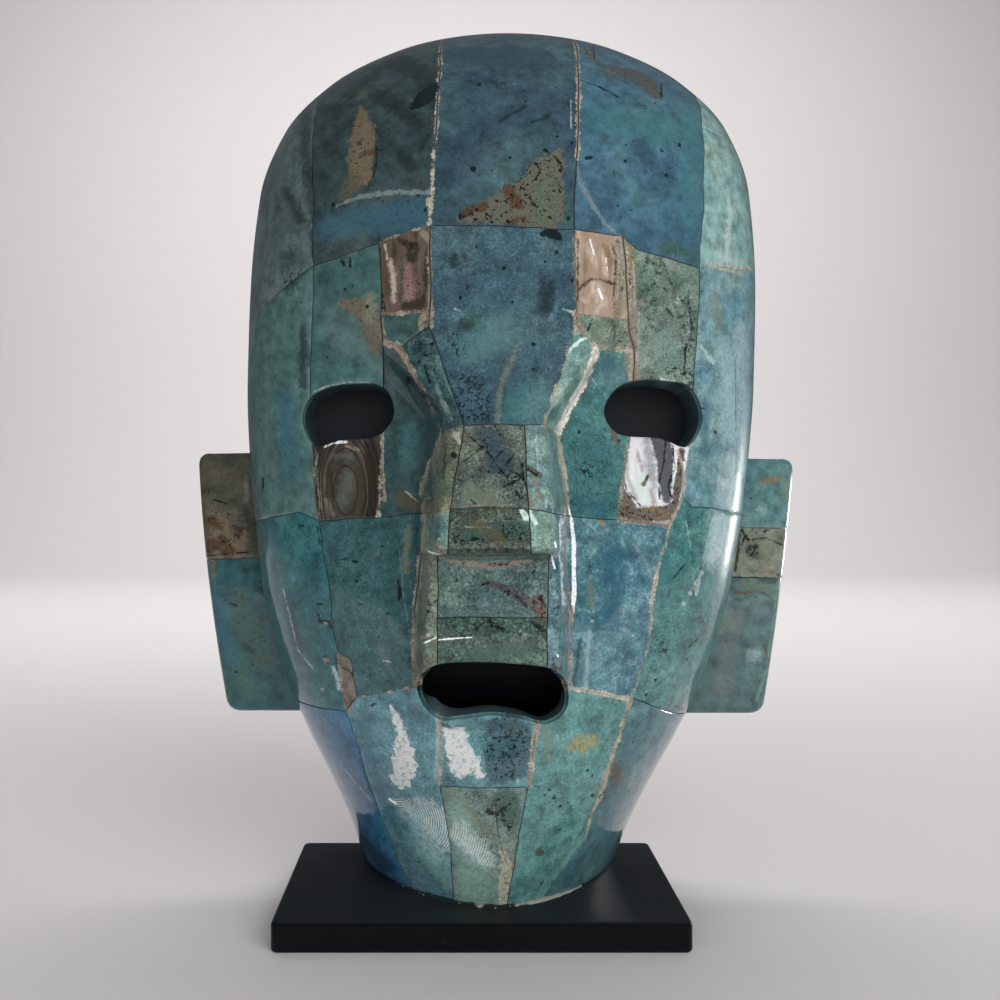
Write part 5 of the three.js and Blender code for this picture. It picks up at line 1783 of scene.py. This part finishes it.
def ear_outline(side):
    """One ear seen from the front, its outer edge slightly bowed: side is -1 at the left, 1 at the right."""
    root = middle_x(76) + side * 42
    top, foot = (108.2, 43.8) if side < 0 else (106.8, 43.2)
    top_x, foot_x, belly = (-69.2, -62, 1.3) if side < 0 else (78.3, 70.8, 2)

    def bow(start, control, end, steps):
        start, control, end = (np.array(p, float) for p in (start, control, end))
        shares = [k / steps for k in range(1, steps + 1)]
        return [start * (1 - s) ** 2 + control * 2 * s * (1 - s) + end * s * s for s in shares]

    corner_foot = (foot_x - side * EAR_CORNER, foot)
    rise_foot = (foot_x + side * 0.5, foot + EAR_CORNER)
    rise_top = (top_x, top - EAR_CORNER)
    corner_top = (top_x - side * EAR_CORNER, top - 0.5)
    points = [np.array((root, foot), float), np.array(corner_foot, float)]
    points += bow(corner_foot, (foot_x, foot), rise_foot, 6)
    points += bow(rise_foot, (top_x - side * belly, 78), rise_top, 14)
    points += bow(rise_top, (top_x, top), corner_top, 6)
    points.append(np.array((root, top), float))
    return without_doubles(divided(points, 0.9))


# The tiles of the ears: side, and the heights of their lower and upper seams
EAR_TILES = {
    "ear_left_upper": (-1, 81.5, 120),
    "ear_left_lower": (-1, 30, 81.5),
    "ear_right_upper": (1, 89.3, 120),
    "ear_right_middle": (1, 77, 89.3),
    "ear_right_lower": (1, 30, 77),
}


def cut_at(outline, height, slope, keep_above):
    """The part of an outline above or below a slanting cut."""
    turn = 1 if keep_above else -1
    kept = []
    for start, end in zip(outline, np.roll(outline, -1, axis=0)):
        first, second = (turn * (p[1] - height - slope * p[0]) for p in (start, end))
        if first >= 0:
            kept.append(start)
        if first * second < 0:
            kept.append(start + (end - start) * first / (first - second))
    return without_doubles(divided(kept, 0.9))


def ear_tile(name, side, low, high, settings):
    whole = ear_outline(side)
    slope = -0.02 * side
    rise = slope * side * EAR_SEAM_X
    outline = cut_at(whole, low - rise + settings.seam / 2, slope, True)
    outline = cut_at(outline, high - rise - settings.seam / 2, slope, False)
    rings = settings.arris * 0.4, settings.arris, 0.9, 1.8
    bm = flat_patch(outline, (), settings.spacing, rings, ())
    flat = np.array([v.co[:2] for v in bm.verts])
    edge = np.clip(distance_to(whole, flat), 0, EAR_ROUND)
    sink = EAR_ROUND - np.sqrt(EAR_ROUND**2 - (EAR_ROUND - edge) ** 2)
    fall = rounding(distance_to(outline, flat), settings.arris, settings.arris * ARRIS_DEPTH)
    sink = np.maximum(sink, fall)
    front = np.stack((flat[:, 0], EAR_FRONT_Y + sink, flat[:, 1]), axis=1)
    rear = np.stack((flat[:, 0], np.full(len(flat), EAR_BACK_Y), flat[:, 1]), axis=1)
    thicken(bm, front, rear)
    return finish_mesh(bm, name, stone(name, settings), name)


def depth_under_tiles(flat, facets, place, out):
    """How deep each vertex of the backing lies, so that no facet stands above the underside of the tiles."""
    below = np.full(len(flat), BACKING_DEPTH)
    for _ in range(4):
        low = place - out * below[:, None]
        # Each facet is measured at the middle of its sides and at its own middle
        for weights in ((0.5, 0.5, 0), (0, 0.5, 0.5), (0.5, 0, 0.5), (0.33, 0.33, 0.34)):
            at = np.einsum("i,fij->fj", weights, flat[facets])
            apart = np.einsum("i,fij->fj", weights, low[facets]) - lay_on_face(at[:, 0], at[:, 1])
            proud = np.clip((apart * face_normal(at[:, 0], at[:, 1])).sum(axis=1) + 0.3, 0, 1.2)
            for corner in range(3):
                deeper = np.where(proud > 0, below[facets[:, corner]] + proud, 0)
                np.maximum.at(below, facets[:, corner], deeper)
    return np.clip(below, 0, BACKING_DEEPEST)


def backing_piece():
    """The dark body under the tiles, with blind pockets behind the slots and a flat back."""
    heights = np.linspace(0, PROFILE_END + CAP, 160)
    girth = np.interp(np.interp(heights, PROFILE, HEIGHTS), HEIGHTS, HALF_GIRTH) + RIM
    right = np.stack((girth, heights), axis=1)
    left = np.stack((-girth, heights), axis=1)[::-1]
    outline = without_doubles(divided(list(right) + list(left), 1.6), 0.4)
    holes = [drawn_in(sheet_point(*closed_curve(points, 5).T), -POCKET_GAP) for points, _, _ in SLOTS]
    bm = flat_patch(outline, holes, 1.7, (), ())
    bm.verts.index_update()
    flat = np.array([v.co[:2] for v in bm.verts])
    place, out = lay_on_face(flat[:, 0], flat[:, 1]), face_normal(flat[:, 0], flat[:, 1])
    facets = np.array([[v.index for v in f.verts] for f in bm.faces])
    place = place - out * depth_under_tiles(flat, facets, place, out)[:, None]
    slot_of = np.full(len(flat), -1)
    for index, hole in enumerate(holes):
        slot_of[distance_to(hole, flat) < 0.05] = index
    on_floor = flat[:, 1] < 0.01
    # The outer edge of the sheet and its top row lie in the flat rear
    rim_at = np.interp(np.interp(flat[:, 1], PROFILE, HEIGHTS), HEIGHTS, HALF_GIRTH) + RIM
    at_back = (np.abs(flat[:, 0]) > rim_at - 0.3) | (flat[:, 1] > PROFILE_END + CAP - 0.05)
    rear_y = BACK_Y - BACKING_INSET
    for v, at, grounded, rearmost in zip(bm.verts, place, on_floor, at_back):
        y = rear_y if rearmost else min(at[1], rear_y)
        v.co = (at[0], y, BASE_TOP if grounded else max(at[2], BASE_TOP))
    loops = {k: [e for e in bm.edges if e.is_boundary and all(slot_of[v.index] == k for v in e.verts)]
             for k in range(3)}
    # The foot is closed apart from the flat rear, along a line between its two rearmost corners
    bm.verts.ensure_lookup_table()
    foot = np.where(on_floor, flat[:, 0], 0)
    rear_low = [bm.verts[int(pick)] for pick in (foot.argmin(), foot.argmax())]
    outer = [e for e in bm.edges if e.is_boundary and all(slot_of[v.index] < 0 for v in e.verts)]
    for k, edges in loops.items():
        made = bmesh.ops.extrude_edge_only(bm, edges=edges)["geom"]
        for v in (g for g in made if isinstance(g, bmesh.types.BMVert)):
            v.co.y = SLOTS[k][2]
        rim = [g for g in made if isinstance(g, bmesh.types.BMEdge)]
        bmesh.ops.contextual_create(bm, geom=rim)
    foot_edges = [e for e in outer if all(on_floor[v.index] for v in e.verts)]
    back_edges = [e for e in outer if e not in set(foot_edges)]
    sill = bm.edges.new(rear_low)
    bmesh.ops.contextual_create(bm, geom=foot_edges + [sill])
    bmesh.ops.contextual_create(bm, geom=back_edges + [sill])
    bmesh.ops.triangulate(bm, faces=[f for f in bm.faces if len(f.verts) > 4])
    return finish_mesh(bm, "cast_backing", dark_resin_material(), "mask_backing")


def glue_bead():
    """The bead of glue that holds the chin on the slab, thick and thin along the front of its foot."""
    count, turns = 61, 8
    shares = np.linspace(0, 1, count)
    girth = float(np.interp(BASE_TOP, HEIGHTS, HALF_GIRTH))
    along = np.linspace(-0.56, 0.5, count) * girth
    foot = lay_on_face(along, np.zeros(count))
    out = face_normal(along, np.zeros(count))
    out[:, 2] = 0
    bm = bmesh.new()
    rings = []
    for k, (at, away) in enumerate(zip(foot, out)):
        swell = noise.noise(Vector((k * 0.31, 4.7, 0))) + 0.5 * noise.noise(Vector((k * 0.9, 1.2, 0)))
        size = (0.6 + 0.45 * swell) * min(1, 6 * shares[k], 6 * (1 - shares[k])) + 0.12
        ring = []
        for turn in range(turns + 1):
            angle = math.pi * (turn / turns)
            x, y, _ = at + away * (size * math.cos(angle) * 1.3 + 0.1)
            ring.append(bm.verts.new((x, y, BASE_TOP + size * math.sin(angle) * 0.9)))
        rings.append(ring)
    for first, second in zip(rings, rings[1:]):
        for j in range(turns):
            bm.faces.new((first[j], first[j + 1], second[j + 1], second[j]))
        bm.faces.new((first[turns], first[0], second[0], second[turns]))
    for ring in (rings[0], rings[-1]):
        bm.faces.new(ring)
    return finish_mesh(bm, "glue_bead", glue_material())


def slab_piece(settings):
    """The black slab: a block with rounded corners and softened arrises."""
    low, high = (Vector(corner) for corner in (BASE_LOW, BASE_HIGH))
    bm = bmesh.new()
    bmesh.ops.create_cube(bm, size=1.0)
    bmesh.ops.scale(bm, vec=high - low, verts=bm.verts[:])
    bmesh.ops.translate(bm, vec=(low + high) / 2, verts=bm.verts[:])
    upright = [e for e in bm.edges if abs(e.verts[0].co.z - e.verts[1].co.z) > 1]
    bmesh.ops.bevel(bm, geom=upright, offset=settings.slab_corner, offset_type="OFFSET", segments=5,
                    profile=0.5, affect="EDGES", material=-1)
    flat = [e for e in bm.edges if abs(e.verts[0].co.z - e.verts[1].co.z) < 1e-4]
    bmesh.ops.bevel(bm, geom=flat, offset=settings.slab_arris, offset_type="OFFSET", segments=4,
                    profile=0.5, affect="EDGES", material=-1)
    return finish_mesh(bm, "slab", satin_slab_material(), "display_base")


class StoneSettings(bpy.types.PropertyGroup):
    """Sizes of the stone tiles and of the lacquer over them."""

    seam: FloatProperty(name="Seam", description="Gap between two tiles, in mm", default=0.17, min=0.1)
    arris: FloatProperty(name="Arris", description="Width of each tile's softened edge, in mm", default=0.2)
    slot_arris: FloatProperty(name="Slot arris", description="Radius of the eye and mouth edges, in mm",
                              default=0.45)
    spacing: FloatProperty(name="Spacing", description="Distance between the vertices of a tile, in mm",
                           default=1.0, min=0.5)
    thickness: FloatProperty(name="Thickness", description="Thickness of a tile, in mm", default=1.6)
    polish: FloatProperty(name="Polish", description="Roughness of the stone under its lacquer", default=0.3)
    lacquer: FloatProperty(name="Lacquer", description="Roughness of the clear lacquer", default=0.05)
    waviness: FloatProperty(name="Waviness", description="Unevenness of the lacquer, in mm", default=0.12)


class SlabSettings(bpy.types.PropertyGroup):
    """Sizes of the black slab."""

    slab_corner: FloatProperty(name="Corner", description="Radius of the slab's corners, in mm", default=1.6)
    slab_arris: FloatProperty(name="Arris", description="Radius of the slab's arrises, in mm", default=0.8)


class StageSettings(bpy.types.PropertyGroup):
    """Colours and strengths of the studio."""

    floor: FloatVectorProperty(name="Floor", description="Colour of the floor and backdrop", subtype="COLOR",
                               size=4, default=linear("#dcd7d7"))
    key: FloatProperty(name="Key light", description="Power of the main light", unit="POWER", default=5.0)
    fill: FloatProperty(name="Fill light", description="Power of the fill light", unit="POWER", default=1.6)
    back: FloatProperty(name="Backdrop light", description="Power of the light on the backdrop", unit="POWER",
                        default=13.0)
    panel: FloatProperty(name="Side panel", description="Power of the panel that gives the lacquer its sheen",
                         unit="POWER", default=0.09)
    strip: FloatProperty(name="Rear strip", description="Power of the strip that edges the right cheek",
                         unit="POWER", default=1.2)
    sky: FloatProperty(name="Sky", description="Strength of the light from all round", default=0.16)


class MASK_OT_backing(bpy.types.Operator):
    """Cast the dark body under the tiles"""

    bl_idname = "mosaic_mask.backing"
    bl_label = "Backing"

    def execute(self, context):
        backing_piece()
        return {"FINISHED"}


class TileStep:
    """A making step that lays the tiles of one part of the face"""

    finish = staticmethod(stone)

    def execute(self, context):
        settings = context.scene.mask_stone
        for name, corners in self.tiles.items():
            face_tile(name, corners, self.finish(name, settings), settings)
        return {"FINISHED"}


class MASK_OT_forehead(TileStep, bpy.types.Operator):
    """Lay the forehead's tiles"""

    bl_idname = "mosaic_mask.forehead"
    bl_label = "Forehead"
    tiles = FOREHEAD


class MASK_OT_brow(TileStep, bpy.types.Operator):
    """Lay the tiles of brow, temples and eye corners"""

    bl_idname = "mosaic_mask.brow"
    bl_label = "Brow"
    tiles = BROW


class MASK_OT_shells(TileStep, bpy.types.Operator):
    """Set the four abalone shell inlays"""

    bl_idname = "mosaic_mask.shells"
    bl_label = "Shell Inlays"
    tiles = SHELLS
    finish = staticmethod(abalone)


class MASK_OT_nose(TileStep, bpy.types.Operator):
    """Lay the nose's tiles"""

    bl_idname = "mosaic_mask.nose"
    bl_label = "Nose"
    tiles = NOSE


class MASK_OT_lip(TileStep, bpy.types.Operator):
    """Lay the tiles of the lip block"""

    bl_idname = "mosaic_mask.lip"
    bl_label = "Lip"
    tiles = LIP


class MASK_OT_cheeks(TileStep, bpy.types.Operator):
    """Lay the cheeks' tiles"""

    bl_idname = "mosaic_mask.cheeks"
    bl_label = "Cheeks"
    tiles = CHEEKS


class MASK_OT_chin(TileStep, bpy.types.Operator):
    """Lay the chin's tiles"""

    bl_idname = "mosaic_mask.chin"
    bl_label = "Chin"
    tiles = CHIN_TILES


class MASK_OT_ears(bpy.types.Operator):
    """Build the ears from their tiles"""

    bl_idname = "mosaic_mask.ears"
    bl_label = "Ears"

    def execute(self, context):
        for name, (side, low, high) in EAR_TILES.items():
            ear_tile(name, side, low, high, context.scene.mask_stone)
        return {"FINISHED"}


class MASK_OT_slab(bpy.types.Operator):
    """Make the black slab and the glue that holds the mask on it"""

    bl_idname = "mosaic_mask.slab"
    bl_label = "Slab"

    def execute(self, context):
        slab_piece(context.scene.mask_slab)
        glue_bead()
        return {"FINISHED"}


def area_light(name, power, size, place, aim, shows=False):
    """A rectangular light; one that shows is seen in the lacquer as a highlight, the others only light."""
    light = bpy.data.lights.new(name, "AREA")
    light.shape = "RECTANGLE"
    light.size, light.size_y = (side * MM for side in size)
    light.energy = power
    lamp = bpy.data.objects.new(name, light)
    lamp.location = Vector(place) * MM
    lamp.rotation_euler = (Vector(aim) - Vector(place)).to_track_quat("-Z", "Y").to_euler()
    lamp.visible_glossy = shows
    lamp.visible_diffuse = not shows
    lamp.visible_camera = False
    bpy.context.scene.collection.objects.link(lamp)


class MASK_OT_stage(bpy.types.Operator):
    """Set up the camera, the floor and the studio lights"""

    bl_idname = "mosaic_mask.stage"
    bl_label = "Stage"

    def execute(self, context):
        settings = context.scene.mask_stage
        camera = bpy.data.objects.new("Camera", bpy.data.cameras.new("Camera"))
        camera.data.sensor_width = 36.0
        camera.data.lens = 36.0
        camera.data.shift_x = 0.047
        camera.data.shift_y = -0.003
        camera.data.clip_start = 0.01
        camera.location = Vector((-6.1, -237.0, 96.9)) * MM
        camera.rotation_euler = (math.pi / 2, 0, 0)
        context.scene.collection.objects.link(camera)
        context.scene.camera = camera

        material, tree, _ = new_material("pale_paper")
        shader = add(tree, "BsdfPrincipled", {"Base Color": tuple(settings.floor), "Roughness": 0.9,
                                              "Specular IOR Level": 0.0})
        add(tree, "OutputMaterial", {"Surface": shader})
        # Sizes and places of the two paper sheets, in metres
        sheets = {"floor": ((3, 1.5, 1), (0, -0.35, 0)), "backdrop": ((3, 1, 1), (0, 0.9, 0))}
        for name, (size, middle) in sheets.items():
            bm = bmesh.new()
            bmesh.ops.create_grid(bm, x_segments=1, y_segments=1, size=0.5)
            bmesh.ops.scale(bm, vec=size, verts=bm.verts[:])
            bmesh.ops.translate(bm, vec=middle, verts=bm.verts[:])
            if name == "backdrop":
                bend = [e for e in bm.edges if all(v.co.y > 1.3 for v in e.verts)]
                made = bmesh.ops.extrude_edge_only(bm, edges=bend)["geom"]
                top = [v for v in made if isinstance(v, bmesh.types.BMVert)]
                bmesh.ops.translate(bm, vec=(0, 0, 1.6), verts=top)
                bmesh.ops.bevel(bm, geom=bend, offset=0.4, offset_type="OFFSET", segments=16, profile=0.5,
                                affect="EDGES", material=-1)
            mesh = bpy.data.meshes.new(name)
            bm.to_mesh(mesh)
            bm.free()
            mesh.shade_smooth()
            mesh.materials.append(material)
            sheet = bpy.data.objects.new(name, mesh)
            sheet.visible_glossy = name == "floor"
            context.scene.collection.objects.link(sheet)

        middle = (0, 0, 100)
        area_light("key", settings.key, (700, 700), (330, -600, 370), middle)
        area_light("fill", settings.fill, (600, 600), (-420, -560, 160), middle)
        area_light("backdrop_light", settings.back, (1400, 400), (0, 420, 900), (0, 1150, 200))
        area_light("side_panel", settings.panel, (220, 80), (560, 40, 62), middle, shows=True)
        area_light("rear_strip", settings.strip, (34, 85), (540, 285, 44), (60, 0, 80), shows=True)
        world = bpy.data.worlds.new("studio")
        world.use_nodes = True
        back = world.node_tree.nodes["Background"]
        back.inputs[0].default_value = linear("#c9d2da")
        back.inputs[1].default_value = settings.sky
        context.scene.world = world
        context.scene.view_settings.view_transform = "Standard"
        return {"FINISHED"}


STEPS = (
    MASK_OT_stage, MASK_OT_backing, MASK_OT_forehead, MASK_OT_brow, MASK_OT_shells, MASK_OT_nose,
    MASK_OT_lip, MASK_OT_cheeks, MASK_OT_chin, MASK_OT_ears, MASK_OT_slab,
)


class MASK_PT_panel(bpy.types.Panel):
    """Lists the mask's settings and its making steps"""

    bl_idname = "MASK_PT_panel"
    bl_label = "Mosaic Mask"
    bl_space_type = "VIEW_3D"
    bl_region_type = "UI"
    bl_category = "Mosaic Mask"

    def draw(self, context):
        layout = self.layout
        for group in (context.scene.mask_stone, context.scene.mask_slab, context.scene.mask_stage):
            for name in group.__annotations__:
                layout.prop(group, name)
        for step in STEPS:
            layout.operator(step.bl_idname)


CLASSES = (StoneSettings, SlabSettings, StageSettings, *STEPS, MASK_PT_panel)


def register():
    for cls in CLASSES:
        bpy.utils.register_class(cls)
    bpy.types.Scene.mask_stone = PointerProperty(type=StoneSettings)
    bpy.types.Scene.mask_slab = PointerProperty(type=SlabSettings)
    bpy.types.Scene.mask_stage = PointerProperty(type=StageSettings)


def unregister():
    del bpy.types.Scene.mask_stage
    del bpy.types.Scene.mask_slab
    del bpy.types.Scene.mask_stone
    for cls in reversed(CLASSES):
        bpy.utils.unregister_class(cls)


def main():
    register()
    for step in STEPS:
        category, name = step.bl_idname.split(".")
        getattr(getattr(bpy.ops, category), name)()
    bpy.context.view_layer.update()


if __name__ == "__main__":
    main()
